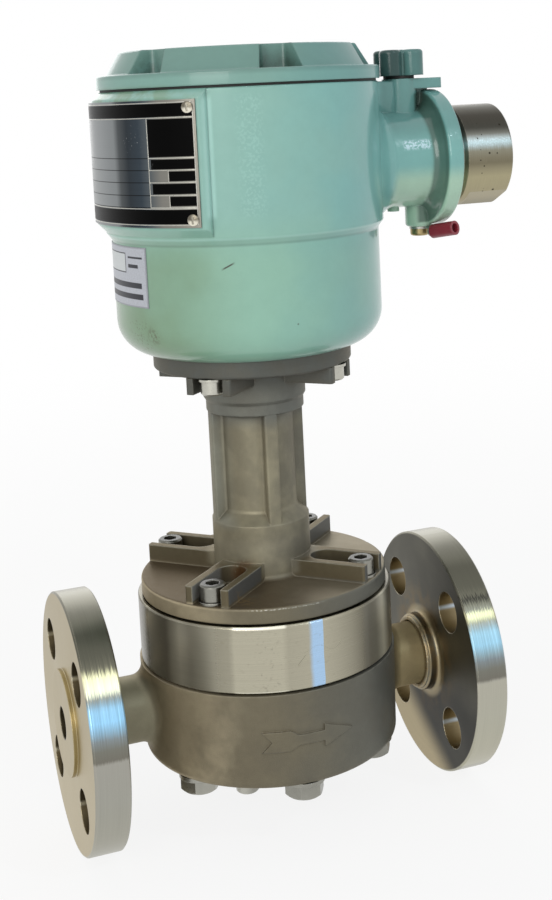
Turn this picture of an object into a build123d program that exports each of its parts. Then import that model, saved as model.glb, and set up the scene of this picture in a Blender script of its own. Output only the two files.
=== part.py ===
"""Flanged displacement flow meter with a finned neck and a pulse-output head.

Millimetres, +Z up. The flow runs along +X through z = 0. Each piece is modelled about the
vertical centre line of the meter, and seat_in_frame then puts the middle of the inlet
flange's raised face at the origin.
"""
from build123d import *
from math import acos, cos, degrees, hypot, pi, radians, sin, sqrt, tan
import os

# Pipe connections: half-inch raised-face flanges, 66.7 mm bolt circle
FACE_TO_FACE = 162.0
FLOW_BORE = 12.0
NECK_BORE = 11.6
FLANGE_OD = 95.3
FLANGE_RIM = 12.7
RAISED_FACE_OD = 39.0
RAISED_FACE_RISE = 1.6
FLANGE_BOLT_CIRCLE = 66.7
FLANGE_BOLT_HOLE = 15.9
FLANGE_HOLE_COUNT = 4
HUB_OD = 30.4
HUB_LENGTH = 4.5
HUB_FILLET = 1.8
WELD_BEAD = 1.1
RIM_CHAMFER = 0.6

# Cast body
BODY_OD = 98.6
BODY_DRAFT_ANGLE = 1.0
BODY_TOP = 15.5
BODY_BOTTOM = -20.0
BODY_EDGE_ROUND = 3.0
NECK_OD = 24.6
NECK_FILLET = 4.5
ARROW_RISE = 0.7
ARROW_HEIGHT = -1.8
ARROW_START = -18.8
ARROW_LENGTH = 34.4
ARROW_TAIL = 10.0
ARROW_TAIL_WIDTH = 7.6
ARROW_TAPER = 3.0
ARROW_NOTCH = 3.4
ARROW_SHAFT_WIDTH = 3.8
ARROW_HEAD = 11.6
ARROW_HEAD_WIDTH = 8.6

# Rotors: toothed ovals that roll on each other
ROTOR_SPACING = 27.0
ROTOR_OVALNESS = 0.2
ROTOR_TOOTH_COUNT = 26
ROTOR_TOOTH_DEPTH = 1.9
ROTOR_TIP_SHARE = 0.985
ROTOR_HEIGHT = 18.0
ROTOR_TIP_GAP = 0.12
ROTOR_END_GAP = 0.12
ROTOR_PIN_D = 5.0
ROTOR_PIN_SEAT = 6.5
BUSH_WALL = 1.0
RUNNING_GAP = 0.05
ROTOR_HUB_D = 8.4

# Gear pair that brings the rotor's turning to the centre line
GEAR_TOOTH_COUNT = 18
GEAR_FACE = 3.6
GEAR_LIFT = 1.0
GEAR_BACKLASH = 0.16
PRESSURE_ANGLE = 20.0
GEAR_ROOM = 0.7

# Chamber cover: the polished ring
COVER_STEP = 0.7
COVER_HEIGHT = 24.7
COVER_CHAMFER = 0.5
SPIGOT_D = 66.0
SPIGOT_GAP = 0.05
GASKET = 0.5
GASKET_INSET = 1.9
BARRIER = 3.5
MAGNET_D = 17.0
MAGNET_HEIGHT = 5.5
MAGNET_ROOM = 1.5
MAGNET_LIFT = 8.6
OUTPUT_PIN_D = 3.0
OUTPUT_PIN_SEAT = 2.0
OUTPUT_PIN_HEAD = (5.5, 0.7)
FOLLOWER_POCKET = 8.7
FOLLOWER_LIFT = 1.2

# Fasteners: thread diameter, head diameter or width, head height
BODY_BOLT = (8.0, 13.0, 5.3)
BASE_SCREW = (6.0, 9.4, 6.0)
HEAD_SCREW = (5.0, 8.5, 5.0)
SOCKET_SHARE = 0.5
CLEARANCE_HOLE = 0.5
BODY_BOLT_COUNT = 6
BODY_BOLT_EDGE = 9.8
BODY_BOLT_ANGLE = -92.0
BODY_BOLT_REACH = 12.0
BODY_WASHER = (15.5, 1.6)
WASHER_OVERHANG = 1.5
WASHER_THICKNESS = 1.0
DRAIN_PLUG = (5.0, 8.4, 6.0)
DRAIN_CIRCLE = 72.0
DRAIN_ANGLE = -124.0
DRAIN_SEAT = 5.0

# Extension casting
EXTENSION_GASKET = 0.6
BASE_OD = 94.0
BASE_THICKNESS = 5.7
BASE_SCREW_EDGE = 6.0
BASE_SCREW_REACH = 8.0
COLUMN_OD = 37.2
COLUMN_CORE = 28.6
COLUMN_RIB_WIDTH = 5.0
RIB_ROOT = 1.6
RIB_CORNER = 0.8
RIB_SET_IN = 0.2
RIB_OVERRUN = 2.0
HUB_TOP = 67.6
FLARE = 4.2
PANEL_TOP = 109.5
COLLAR_OD = 39.0
COLLAR_LEDGE = 4.0
COLLAR_SLOPE = 1.5
HEAD_FLANGE_OD = 75.0
HEAD_FLANGE_BOTTOM = 127.5
HEAD_SEAT = 134.0
HEAD_SCREW_EDGE = 4.5
HEAD_SCREW_REACH = 4.0
SCREW_COUNT = 4
LUG_THICKNESS = 3.0
BASE_LUG_SPACING = 14.5
BASE_LUG_RISE = 6.6
LUG_END_GAP = 1.0
BASE_POCKET_LENGTH = 26.2
HEAD_LUG_SPACING = 15.0
HEAD_LUG_DROP = 6.0
HEAD_POCKET_LENGTH = 15.5
CASTING_ROUND = 2.0
SHAFT_TUNNEL = 13.0

# Shaft and its bearings
SHAFT_D = 5.0
BEARING_OD = 16.0
BEARING_HEIGHT = 5.0
SHAFT_OVER_DISC = 4.8
SHAFT_COLLAR = (9.0, 3.0)

# Head
MOUTH_D = 94.0
MOUTH_WALL = 5.0
HEAD_STEP_DEPTH = 2.0
HEAD_WALL = 4.0
HEAD_FLOOR = 6.0
HEAD_BOTTOM_ROUND = 13.0
HEAD_STEP = 177.0
HEAD_STEP_SLOPE = 2.6
HEAD_TOP = 231.0
MOUTH_DEPTH = 11.0
HEAD_SPIGOT_D = 19.0
HEAD_SPIGOT = 3.0
HEAD_STEP_ROUND = 1.2
HEAD_TOP_ROUND = 0.6

# Screwed cover
CAP_SEAL = 0.9
CAP_OVERHANG = 0.6
CAP_RIM = 5.0
CROWN_SHOULDER = 3.6
CROWN_SLOPE = 5.0
CROWN_RISE = 8.4
CAP_WALL = 4.0
CAP_THREAD_GAP = 0.15
CAP_SKIRT = 9.5
CAP_SKIRT_WALL = 3.0
CAP_NOTCH_COUNT = 6
CAP_NOTCH_WIDTH = 16.0
CAP_NOTCH_BACK = 8.5
CAP_NOTCH_DEPTH = 9.5
CAP_NOTCH_ANGLE = 30.0
CAP_NOTCH_ROUND = 2.0
SEAL_INSET = 1.3

# Nameplate pad and plates, angles about the centre line
PLATE_FROM_ANGLE = -213.5
PLATE_TO_ANGLE = -123.5
PLATE_BOTTOM = 184.0
PLATE_HEIGHT = 43.6
PLATE_THICKNESS = 0.7
PAD_RISE = 3.0
PAD_EDGE = 0.8
PAD_SLOPE_BELOW = 4.8
PAD_SLOPE_ABOVE = 1.8
PAD_SET_IN = 2.5
PAD_MARGIN = 3.2
PAD_ROUND = 2.4
PLATE_SCREW_D = 4.0
PLATE_SCREW_RISE = 1.2
PLATE_SCREW_INSET = 2.7
LABEL_FROM_ANGLE = -200.0
LABEL_TO_ANGLE = -153.0
LABEL_BOTTOM = 154.6
LABEL_HEIGHT = 21.6
LABEL_THICKNESS = 0.25

# Conduit entry on the side of the head
CONDUIT_HEIGHT = 200.3
CONDUIT_NECK_OD = 38.0
CONDUIT_FLANGE_OD = 53.2
CONDUIT_FLANGE_REACH = 27.8
CONDUIT_PASSAGE = 26.6
CONDUIT_FLANGE = 6.4
CONDUIT_BACK_FLAT = 1.6
CONDUIT_BACK_ROUND = 1.5
CONDUIT_FACE_ROUND = 1.0
CONDUIT_ROOT = 6.0
NUB_D = 4.6
NUB_REACH = 9.0
NUB_DROP = 1.4
CONDUIT_THREAD = 33.0
CONDUIT_THREAD_REACH = 15.0
ADAPTER_OD = 39.6
ADAPTER_LENGTH = 24.5
ADAPTER_COLLAR = 3.0
ADAPTER_COLLAR_OD = 37.0
ADAPTER_BORE = 24.1
ADAPTER_FLAT_DROP = 1.3
ADAPTER_FLAT_TILT = 24.0
ADAPTER_SEAL = 0.8

# Filler boss with its lobed plug
BOSS_REACH = 13.5
BOSS_OD = 13.8
BOSS_TOP = 231.3
BOSS_THREAD = 8.0
BOSS_THREAD_DEPTH = 14.0
PLUG_SEAL = 1.2
PLUG_SEAL_OD = 12.0
PLUG_REACH = 10.4
PLUG_HEIGHT = 10.0
PLUG_LOBE_COUNT = 4
PLUG_LOBE_D = 8.6
PLUG_ANGLE = -53.0
PLUG_STEM_LENGTH = 8.0
TAB_OVERHANG = 1.6
TAB_WIDTH = 12.0
TAB_DROP = 4.0

# Earth screw and ring terminal
EARTH_SET_BACK = 7.8
EARTH_BOSS_OD = 11.0
EARTH_BOSS_DROP = 0.4
EARTH_BOSS_ROUND = 1.2
EARTH_SCREW = (4.0, 7.4, 2.8)
EARTH_THREAD = 9.0
RING_THICKNESS = 0.9
RING_OD = 8.0
RING_SHANK = 8.5
SHANK_LEAD = 1.5
TONGUE_WIDTH = 2.4
TONGUE_GAP = 0.6
SLEEVE_D = 5.6
SLEEVE_LENGTH = 11.0
SLEEVE_BORE = 3.6
SLEEVE_ANGLE = -64.0
SLEEVE_TILT = 9.0
SLEEVE_START = 6.8
SLEEVE_DROP = 1.5

# Electronics inside the head
PULSE_DISC_D = 40.0
PULSE_DISC_THICKNESS = 1.2
PULSE_DISC_RISE = 12.0
PULSE_SLOT_COUNT = 12
PULSE_SLOT = (4.0, 2.6)
PULSE_SLOT_INSET = 3.0
PULSE_HUB_D = 11.0
PULSE_HUB = 7.0
SENSOR = (12.0, 14.0, 12.0)
SENSOR_GAP = 3.6
SENSOR_OVERLAP = 5.0
BRACKET = 3.0
BOARD_MARGIN = 5.0
BOARD_THICKNESS = 1.6
BOARD_RISE = 40.0
POST_D = 6.0
POST_COUNT = 3
POST_INSET = 7.0
POST_ANGLE = 30.0
BOARD_SCREW = (3.0, 5.6, 2.2)
BOARD_THREAD = 6.0
BOARD_HOLE_GAP = 0.2
BLOCK = (50.0, 14.0, 13.0)
BLOCK_CELL_COUNT = 5
BLOCK_OFFSET = -12.0
BLOCK_FLOOR = 2.0
CELL_GAP = 1.6
TERMINAL_SCREW = (4.0, 6.4, 2.0)

# Worked out from the sizes above
HEAD_UPPER_OD = MOUTH_D + 2 * MOUTH_WALL
HEAD_LOWER_OD = HEAD_UPPER_OD - 2 * HEAD_STEP_DEPTH
HEAD_INNER_D = HEAD_LOWER_OD - 2 * HEAD_WALL
CAP_RIM_OD = HEAD_UPPER_OD + 2 * CAP_OVERHANG
CROWN_BASE_OD = CAP_RIM_OD - 2 * CROWN_SHOULDER
CROWN_TOP_OD = CROWN_BASE_OD - 2 * CROWN_SLOPE
PAD_OD = HEAD_UPPER_OD + 2 * PAD_RISE
CONDUIT_FLANGE_X = HEAD_UPPER_OD / 2 + CONDUIT_FLANGE_REACH
NUB_X = HEAD_UPPER_OD / 2 + NUB_REACH
BOSS_X = HEAD_UPPER_OD / 2 + BOSS_REACH
TAB_END = CONDUIT_FLANGE_X + TAB_OVERHANG
ADAPTER_END = CONDUIT_FLANGE_X + ADAPTER_LENGTH
EARTH_X = CONDUIT_FLANGE_X - EARTH_SET_BACK
EARTH_BOSS_BOTTOM = CONDUIT_HEIGHT - CONDUIT_FLANGE_OD / 2 - EARTH_BOSS_DROP
NUB_BOTTOM = CONDUIT_HEIGHT - CONDUIT_NECK_OD / 2 - NUB_DROP
CONDUIT_GROOVE = (CONDUIT_FLANGE_OD - CONDUIT_NECK_OD) / 2 - CONDUIT_BACK_ROUND - CONDUIT_BACK_FLAT
BOARD_D = HEAD_INNER_D - 2 * BOARD_MARGIN
POST_CIRCLE = BOARD_D - 2 * POST_INSET
COVER_OD = BODY_OD - 2 * COVER_STEP
BODY_BOLT_CIRCLE = BODY_OD - 2 * BODY_BOLT_EDGE
BASE_SCREW_CIRCLE = BASE_OD - 2 * BASE_SCREW_EDGE
HEAD_SCREW_CIRCLE = HEAD_FLANGE_OD - 2 * HEAD_SCREW_EDGE
BASE_LUG_REACH = BASE_OD / 2 - LUG_END_GAP
HEAD_LUG_REACH = HEAD_FLANGE_OD / 2 - LUG_END_GAP
BASE_POCKET_FROM = BASE_OD / 2 - BASE_POCKET_LENGTH
HEAD_POCKET_FROM = HEAD_FLANGE_OD / 2 - HEAD_POCKET_LENGTH
COVER_BOTTOM = BODY_TOP + GASKET
COVER_TOP = COVER_BOTTOM + COVER_HEIGHT
ROTOR_TOP = ROTOR_HEIGHT / 2
CHAMBER_FLOOR = -ROTOR_TOP - ROTOR_END_GAP
CHAMBER_ROOF = ROTOR_TOP + ROTOR_END_GAP
GEAR_BOTTOM = ROTOR_TOP + GEAR_LIFT
GEAR_TOP = GEAR_BOTTOM + GEAR_FACE
GEAR_MODULE = ROTOR_SPACING / 2 / GEAR_TOOTH_COUNT
GEAR_TIP_D = GEAR_MODULE * (GEAR_TOOTH_COUNT + 2)
FOLLOWER_FLOOR = COVER_TOP - FOLLOWER_POCKET
BARRIER_BOTTOM = FOLLOWER_FLOOR - BARRIER
MAGNET_BOTTOM = GEAR_TOP + MAGNET_LIFT
BASE_BOTTOM = COVER_TOP + EXTENSION_GASKET
BASE_TOP = BASE_BOTTOM + BASE_THICKNESS
CAP_BOTTOM = HEAD_TOP + CAP_SEAL
CROWN_BOTTOM = CAP_BOTTOM + CAP_RIM
NECK_END = FACE_TO_FACE / 2 - RAISED_FACE_RISE - FLANGE_RIM - HUB_LENGTH
FLOOR_TOP = HEAD_SEAT + HEAD_FLOOR
PULSE_DISC_HEIGHT = FLOOR_TOP + PULSE_DISC_RISE
SHAFT_TOP = PULSE_DISC_HEIGHT + PULSE_DISC_THICKNESS + SHAFT_OVER_DISC
BOARD_HEIGHT = FLOOR_TOP + BOARD_RISE
BOARD_TOP = BOARD_HEIGHT + BOARD_THICKNESS

STANDING = (Align.CENTER, Align.CENTER, Align.MIN)


def post(diameter, low, high, x=0.0, y=0.0):
    """Upright cylinder between two heights."""
    return Pos(x, y, low) * Cylinder(diameter / 2, high - low, align=STANDING)


def ring(outer, inner, low, high, x=0.0, y=0.0):
    """Upright tube between two heights."""
    return post(outer, low, high, x, y) - post(inner, low, high, x, y)


def profile(points, rounds=()):
    """Closed outline of straight runs, with some corners rounded: (index, radius) each."""
    face = make_face(Polyline(*points, close=True))
    for index, radius in rounds:
        corner = face.vertices().sort_by_distance(Vector(*points[index]))[0]
        face = fillet(corner, radius)
    return face


def turned(points, rounds=(), angle=360.0):
    """Solid of revolution about Z from (radius, height) points."""
    return revolve(Plane.XZ * profile(points, rounds), Axis.Z, angle)


def around(count, diameter, start=0.0):
    """Places evenly spaced on a circle about the centre line."""
    for i in range(count):
        angle = start + 360.0 * i / count
        yield angle, diameter / 2 * cos(radians(angle)), diameter / 2 * sin(radians(angle))


def hexagon(across_flats, low, high):
    """Upright hexagonal prism."""
    return extrude(Pos(0, 0, low) * RegularPolygon(across_flats / sqrt(3), 6), high - low)


def cap_screw(size, reach):
    """Socket-head cap screw, head bottom at the origin, thread hanging down."""
    thread, head, height = size
    body = post(head, 0, height) + post(thread, -reach, 0)
    body = chamfer(body.edges().group_by(Axis.Z)[-1], head * 0.06)
    return body - hexagon(thread * SOCKET_SHARE * 1.6, height * (1 - SOCKET_SHARE), height)


def hex_bolt(size, reach):
    """Hexagon-head bolt, head bottom at the origin, thread hanging down."""
    thread, flats, height = size
    corner = flats * 0.6
    crown = turned([(0, 0), (corner, 0), (corner, height * 0.75), (flats * 0.47, height), (0, height)])
    return (hexagon(flats, 0, height) & crown) + post(thread, -reach, 0)


def sectored(inner, outer, low, high, start, stop):
    """Part of a tube between two angles."""
    face = Plane.XZ * Pos((inner + outer) / 2, (low + high) / 2) * Rectangle(outer - inner, high - low)
    return revolve(Rot(0, 0, start) * face, Axis.Z, stop - start)


def along_flow(shape, side):
    """Turn a piece built about Z, face down at z = 0, so that its face looks out along the flow."""
    turn = Rot(0, 90, 0) if side < 0 else Rot(0, -90, 0)
    return Pos(side * FACE_TO_FACE / 2, 0, 0) * turn * shape


# Rotors and gears

def rotor_radius(angle, inset=0.0):
    """Radius of the rotor's tip curve at an angle from its long axis."""
    mean = ROTOR_SPACING * (1 - ROTOR_OVALNESS ** 2) / 2
    return ROTOR_TIP_SHARE * mean / (1 - ROTOR_OVALNESS * cos(2 * angle)) - inset


def rotor_steps():
    """Angles at equal distances round the tip curve, four to a tooth, from a tooth's middle."""
    fine = 2880
    angles = [2 * pi * i / fine for i in range(fine + 1)]
    lengths = [0.0]
    for a, b in zip(angles, angles[1:]):
        step = hypot(rotor_radius(b) * cos(b) - rotor_radius(a) * cos(a),
                     rotor_radius(b) * sin(b) - rotor_radius(a) * sin(a))
        lengths.append(lengths[-1] + step)
    pitch = lengths[-1] / ROTOR_TOOTH_COUNT
    marks = []
    for tooth in range(ROTOR_TOOTH_COUNT):
        for share, deep in ((-0.15, 0), (0.15, 0), (0.36, 1), (0.64, 1)):
            marks.append(((tooth + share) * pitch % lengths[-1], deep))
    found = []
    for distance, deep in marks:
        i = next(k for k, length in enumerate(lengths) if length >= distance)
        found.append((angles[i], deep))
    return found


def rotor_outline():
    """Toothed oval, long axis along X."""
    points = []
    for angle, deep in rotor_steps():
        radius = rotor_radius(angle, ROTOR_TOOTH_DEPTH * deep)
        points.append((radius * cos(angle), radius * sin(angle)))
    return make_face(Polyline(*points, close=True))


def rotor(turn, y, hub_top):
    """One measuring rotor with its bored hub."""
    body = Pos(0, 0, -ROTOR_TOP) * extrude(Rot(0, 0, turn) * rotor_outline(), ROTOR_HEIGHT)
    if hub_top > ROTOR_TOP:
        body += post(ROTOR_HUB_D, ROTOR_TOP, hub_top)
    return Pos(0, y, 0) * (body - post(bush_outer(), -ROTOR_TOP, hub_top))


def bush_outer():
    """Outside diameter of a rotor bush."""
    return ROTOR_PIN_D + 2 * RUNNING_GAP + 2 * BUSH_WALL


def rotor_bush(y, top):
    """Carbon bush pressed into a rotor."""
    return ring(bush_outer(), ROTOR_PIN_D + 2 * RUNNING_GAP, -ROTOR_TOP, top, 0, y)


def spur_gear(bore):
    """Involute spur gear with a tooth along +X, standing on the gear bottom."""
    pitch_r = GEAR_MODULE * GEAR_TOOTH_COUNT / 2
    base_r = pitch_r * cos(radians(PRESSURE_ANGLE))
    tip_r = GEAR_TIP_D / 2 - 0.05
    root_r = pitch_r - 1.25 * GEAR_MODULE
    involute = tan(radians(PRESSURE_ANGLE)) - radians(PRESSURE_ANGLE)
    half_pitch_angle = (pi * GEAR_MODULE / 2 - GEAR_BACKLASH) / 2 / pitch_r

    def half_angle(radius):
        press = acos(min(1.0, base_r / radius))
        return half_pitch_angle + involute - (tan(press) - press)

    flank = [base_r + (tip_r - base_r) * k / 3 for k in range(4)]
    points = []
    for tooth in range(GEAR_TOOTH_COUNT):
        middle = 2 * pi * tooth / GEAR_TOOTH_COUNT
        rising = [(root_r, half_angle(base_r))] + [(r, half_angle(r)) for r in flank]
        points += [(r * cos(middle - a), r * sin(middle - a)) for r, a in rising]
        points += [(r * cos(middle + a), r * sin(middle + a)) for r, a in reversed(rising)]
    blank = extrude(Pos(0, 0, GEAR_BOTTOM) * make_face(Polyline(*points, close=True)), GEAR_FACE)
    return blank - post(bore, GEAR_BOTTOM, GEAR_TOP)


def drive_gear():
    """Gear pressed on rotor A's hub, a tooth pointing at the centre line."""
    return Pos(0, -ROTOR_SPACING / 2, 0) * Rot(0, 0, 90) * spur_gear(ROTOR_HUB_D)


def output_gear():
    """Gear on the centre line with a hub that carries the drive magnet."""
    turn = -90 + 180 / GEAR_TOOTH_COUNT
    bore = OUTPUT_PIN_D + 2 * RUNNING_GAP
    hub = ring(ROTOR_HUB_D, bore, GEAR_TOP, MAGNET_BOTTOM + MAGNET_HEIGHT)
    return Rot(0, 0, turn) * spur_gear(bore) + hub


def drive_magnet():
    """Ring magnet on the output gear's hub."""
    return ring(MAGNET_D, ROTOR_HUB_D, MAGNET_BOTTOM, MAGNET_BOTTOM + MAGNET_HEIGHT)


def rotor_pins():
    """Fixed pins that the rotors turn on, seated in the body floor and in the cover."""
    low = CHAMBER_FLOOR - ROTOR_PIN_SEAT
    pin_a = post(ROTOR_PIN_D, low, pin_top(-1), 0, -ROTOR_SPACING / 2)
    pin_b = post(ROTOR_PIN_D, low, pin_top(1), 0, ROTOR_SPACING / 2)
    return [pin_a, pin_b]


def pin_top(side):
    """Top of a rotor pin: pin A passes the gear room first."""
    return gear_room_roof() + ROTOR_PIN_SEAT / 2 if side < 0 else CHAMBER_ROOF + ROTOR_PIN_SEAT / 2


def gear_room_roof():
    """Height of the roof over the gears."""
    return GEAR_TOP + GEAR_ROOM


def output_pin():
    """Fixed headed pin under the barrier, carrying the output gear on its head."""
    head, thickness = OUTPUT_PIN_HEAD
    under = GEAR_BOTTOM - RUNNING_GAP
    return post(OUTPUT_PIN_D, under, BARRIER_BOTTOM + OUTPUT_PIN_SEAT) + post(head, under - thickness, under)


# Body, flanges and chamber cover

def arrow():
    """Flow arrow: notched tail, narrow shaft, pointed head, seen along +Y."""
    tail, tip = ARROW_START, ARROW_START + ARROW_LENGTH
    upper = [(tail, ARROW_TAIL_WIDTH / 2), (tail + ARROW_TAIL, ARROW_TAIL_WIDTH / 2),
             (tail + ARROW_TAIL + ARROW_TAPER, ARROW_SHAFT_WIDTH / 2),
             (tip - ARROW_HEAD, ARROW_SHAFT_WIDTH / 2), (tip - ARROW_HEAD, ARROW_HEAD_WIDTH / 2), (tip, 0)]
    lower = [(x, -y) for x, y in reversed(upper[:-1])]
    outline = [(x, ARROW_HEIGHT + y) for x, y in upper + lower + [(tail + ARROW_NOTCH, 0)]]
    face = Plane.XZ * make_face(Polyline(*outline, close=True))
    return extrude(face, BODY_OD)


def body_drum(grow=0.0, top=BODY_TOP):
    """Cast drum with draft: narrower at the bottom."""
    slope = tan(radians(BODY_DRAFT_ANGLE))
    upper = BODY_OD / 2 + grow + (top - BODY_TOP) * slope
    lower = BODY_OD / 2 + grow - (BODY_TOP - BODY_BOTTOM) * slope
    points = [(0, BODY_BOTTOM), (lower, BODY_BOTTOM), (upper, top), (0, top)]
    return turned(points, [(1, BODY_EDGE_ROUND)])


def chamber():
    """Room swept by the two rotors."""
    reach = rotor_radius(0) + ROTOR_TIP_GAP
    room = post(2 * reach, CHAMBER_FLOOR, CHAMBER_ROOF, 0, -ROTOR_SPACING / 2)
    return room + post(2 * reach, CHAMBER_FLOOR, CHAMBER_ROOF, 0, ROTOR_SPACING / 2)


def meter_body():
    """Cast body with both necks, bored and machined."""
    headroom = BODY_TOP + 2 * NECK_FILLET
    neck = Rot(0, 90, 0) * Cylinder(NECK_OD / 2, 2 * NECK_END)
    drum = body_drum(top=headroom)
    joined = drum + neck
    seams = [e for e in joined.edges() if is_neck_seam(e)]
    joined = fillet(seams, NECK_FILLET)
    joined += arrow() & body_drum(ARROW_RISE, top=headroom)
    joined -= Pos(0, 0, BODY_TOP) * Box(2 * FACE_TO_FACE, 2 * BODY_OD, BODY_OD, align=STANDING)
    joined -= post(SPIGOT_D, CHAMBER_ROOF, BODY_TOP)
    joined -= chamber()
    joined -= Rot(0, 90, 0) * Cylinder(NECK_BORE / 2, 2 * NECK_END)
    joined -= rotor_pins()
    hole = BODY_BOLT[0] + CLEARANCE_HOLE
    joined -= [post(hole, BODY_BOTTOM, BODY_TOP, x, y) for x, y in body_bolt_places()]
    x, y = drain_place()
    joined -= post(DRAIN_PLUG[0], BODY_BOTTOM, BODY_BOTTOM + DRAIN_SEAT, x, y)
    return joined


def is_neck_seam(edge):
    """True for an edge where a neck meets the drum."""
    low, high = edge.bounding_box().min, edge.bounding_box().max
    beside = min(abs(low.X), abs(high.X)) > BODY_OD / 4 and max(abs(low.X), abs(high.X)) < BODY_OD / 2 + 1
    return beside and high.Z < NECK_OD / 2 + 1 and low.Z > -NECK_OD / 2 - 1 and high.Z - low.Z > NECK_OD / 3


def body_bolt_places():
    """Centres of the bolts under the body."""
    return [(x, y) for _, x, y in around(BODY_BOLT_COUNT, BODY_BOLT_CIRCLE, BODY_BOLT_ANGLE)]


def drain_place():
    """Centre of the drain plug."""
    angle = radians(DRAIN_ANGLE)
    return DRAIN_CIRCLE / 2 * cos(angle), DRAIN_CIRCLE / 2 * sin(angle)


def flange(side):
    """Raised-face flange with a short hub and its weld to the neck."""
    rim_back = RAISED_FACE_RISE + FLANGE_RIM
    hub_end = rim_back + HUB_LENGTH
    rim = FLANGE_OD / 2
    points = [(0, 0), (RAISED_FACE_OD / 2, 0), (RAISED_FACE_OD / 2, RAISED_FACE_RISE),
              (rim - RIM_CHAMFER, RAISED_FACE_RISE), (rim, RAISED_FACE_RISE + RIM_CHAMFER),
              (rim, rim_back - RIM_CHAMFER), (rim - RIM_CHAMFER, rim_back),
              (HUB_OD / 2, rim_back), (HUB_OD / 2, hub_end), (0, hub_end)]
    body = turned(points, [(7, HUB_FILLET), (8, HUB_FILLET / 2)])
    body += weld_bead(hub_end)
    body -= post(FLOW_BORE, 0, hub_end)
    body -= [post(FLANGE_BOLT_HOLE, 0, rim_back, x, y)
             for _, x, y in around(FLANGE_HOLE_COUNT, FLANGE_BOLT_CIRCLE, 180 / FLANGE_HOLE_COUNT)]
    return along_flow(body, side)


def weld_bead(hub_end):
    """Rounded bead against the hub's end, round the neck."""
    bead = Pos(NECK_OD / 2 + WELD_BEAD, hub_end) * Circle(WELD_BEAD)
    lower = Pos(NECK_OD / 2 + WELD_BEAD, hub_end) * Rectangle(2 * WELD_BEAD, 2 * WELD_BEAD)
    return revolve(Plane.XZ * (bead & lower), Axis.Z)


def body_gasket():
    """Flat gasket between the body and the chamber cover."""
    sheet = ring(COVER_OD - 2 * GASKET_INSET, SPIGOT_D, BODY_TOP, COVER_BOTTOM)
    hole = BODY_BOLT[0] + CLEARANCE_HOLE
    return sheet - [post(hole, BODY_TOP, COVER_BOTTOM, x, y) for x, y in body_bolt_places()]


def chamber_cover():
    """Polished cover: spigot, gear room, magnet room, and the barrier between the magnets."""
    half = COVER_OD / 2
    points = [(0, CHAMBER_ROOF), (SPIGOT_D / 2 - SPIGOT_GAP, CHAMBER_ROOF),
              (SPIGOT_D / 2 - SPIGOT_GAP, COVER_BOTTOM), (half - COVER_CHAMFER, COVER_BOTTOM),
              (half, COVER_BOTTOM + COVER_CHAMFER), (half, COVER_TOP - COVER_CHAMFER),
              (half - COVER_CHAMFER, COVER_TOP), (0, COVER_TOP)]
    body = turned(points)
    room = GEAR_TIP_D + 2 * GEAR_ROOM
    slot = make_hull((Circle(room / 2) + Pos(0, -ROTOR_SPACING / 2) * Circle(room / 2)).edges())
    body -= Pos(0, 0, CHAMBER_ROOF) * extrude(slot, gear_room_roof() - CHAMBER_ROOF)
    body -= post(MAGNET_D + 2 * MAGNET_ROOM, CHAMBER_ROOF, BARRIER_BOTTOM)
    body -= post(MAGNET_D + 2 * MAGNET_ROOM + 3, FOLLOWER_FLOOR, COVER_TOP)
    body -= rotor_pins()
    body -= output_pin()
    body -= [post(BODY_BOLT[0], COVER_BOTTOM, COVER_BOTTOM + BODY_BOLT_REACH, x, y)
             for x, y in body_bolt_places()]
    body -= [post(BASE_SCREW[0], COVER_TOP - BASE_SCREW_REACH, COVER_TOP, x, y)
             for _, x, y in around(SCREW_COUNT, BASE_SCREW_CIRCLE, 45)]
    return body


def body_bolts():
    """Hexagon bolts that pull the cover down on the body from below."""
    under = BODY_BOTTOM - BODY_WASHER[1]
    reach = COVER_BOTTOM + BODY_BOLT_REACH - under
    return [Pos(x, y, under) * Rot(180, 0, 0) * hex_bolt(BODY_BOLT, reach) for x, y in body_bolt_places()]


def body_washers():
    """Washers under the body bolts."""
    outer, thickness = BODY_WASHER
    return [ring(outer, BODY_BOLT[0] + CLEARANCE_HOLE, BODY_BOTTOM - thickness, BODY_BOTTOM, x, y)
            for x, y in body_bolt_places()]


def drain_plug():
    """Round-headed drain plug between two of the body bolts."""
    x, y = drain_place()
    plug = cap_screw(DRAIN_PLUG, DRAIN_SEAT)
    return Pos(x, y, BODY_BOTTOM) * Rot(180, 0, 0) * plug


# Extension casting

def extension_gasket():
    """Flat gasket between the chamber cover and the extension."""
    sheet = ring(BASE_OD - 2 * GASKET_INSET, MAGNET_D + 2 * MAGNET_ROOM + 3, COVER_TOP, BASE_BOTTOM)
    return sheet - [post(BASE_SCREW[0] + CLEARANCE_HOLE, COVER_TOP, BASE_BOTTOM, x, y)
                    for _, x, y in around(SCREW_COUNT, BASE_SCREW_CIRCLE, 45)]


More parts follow.
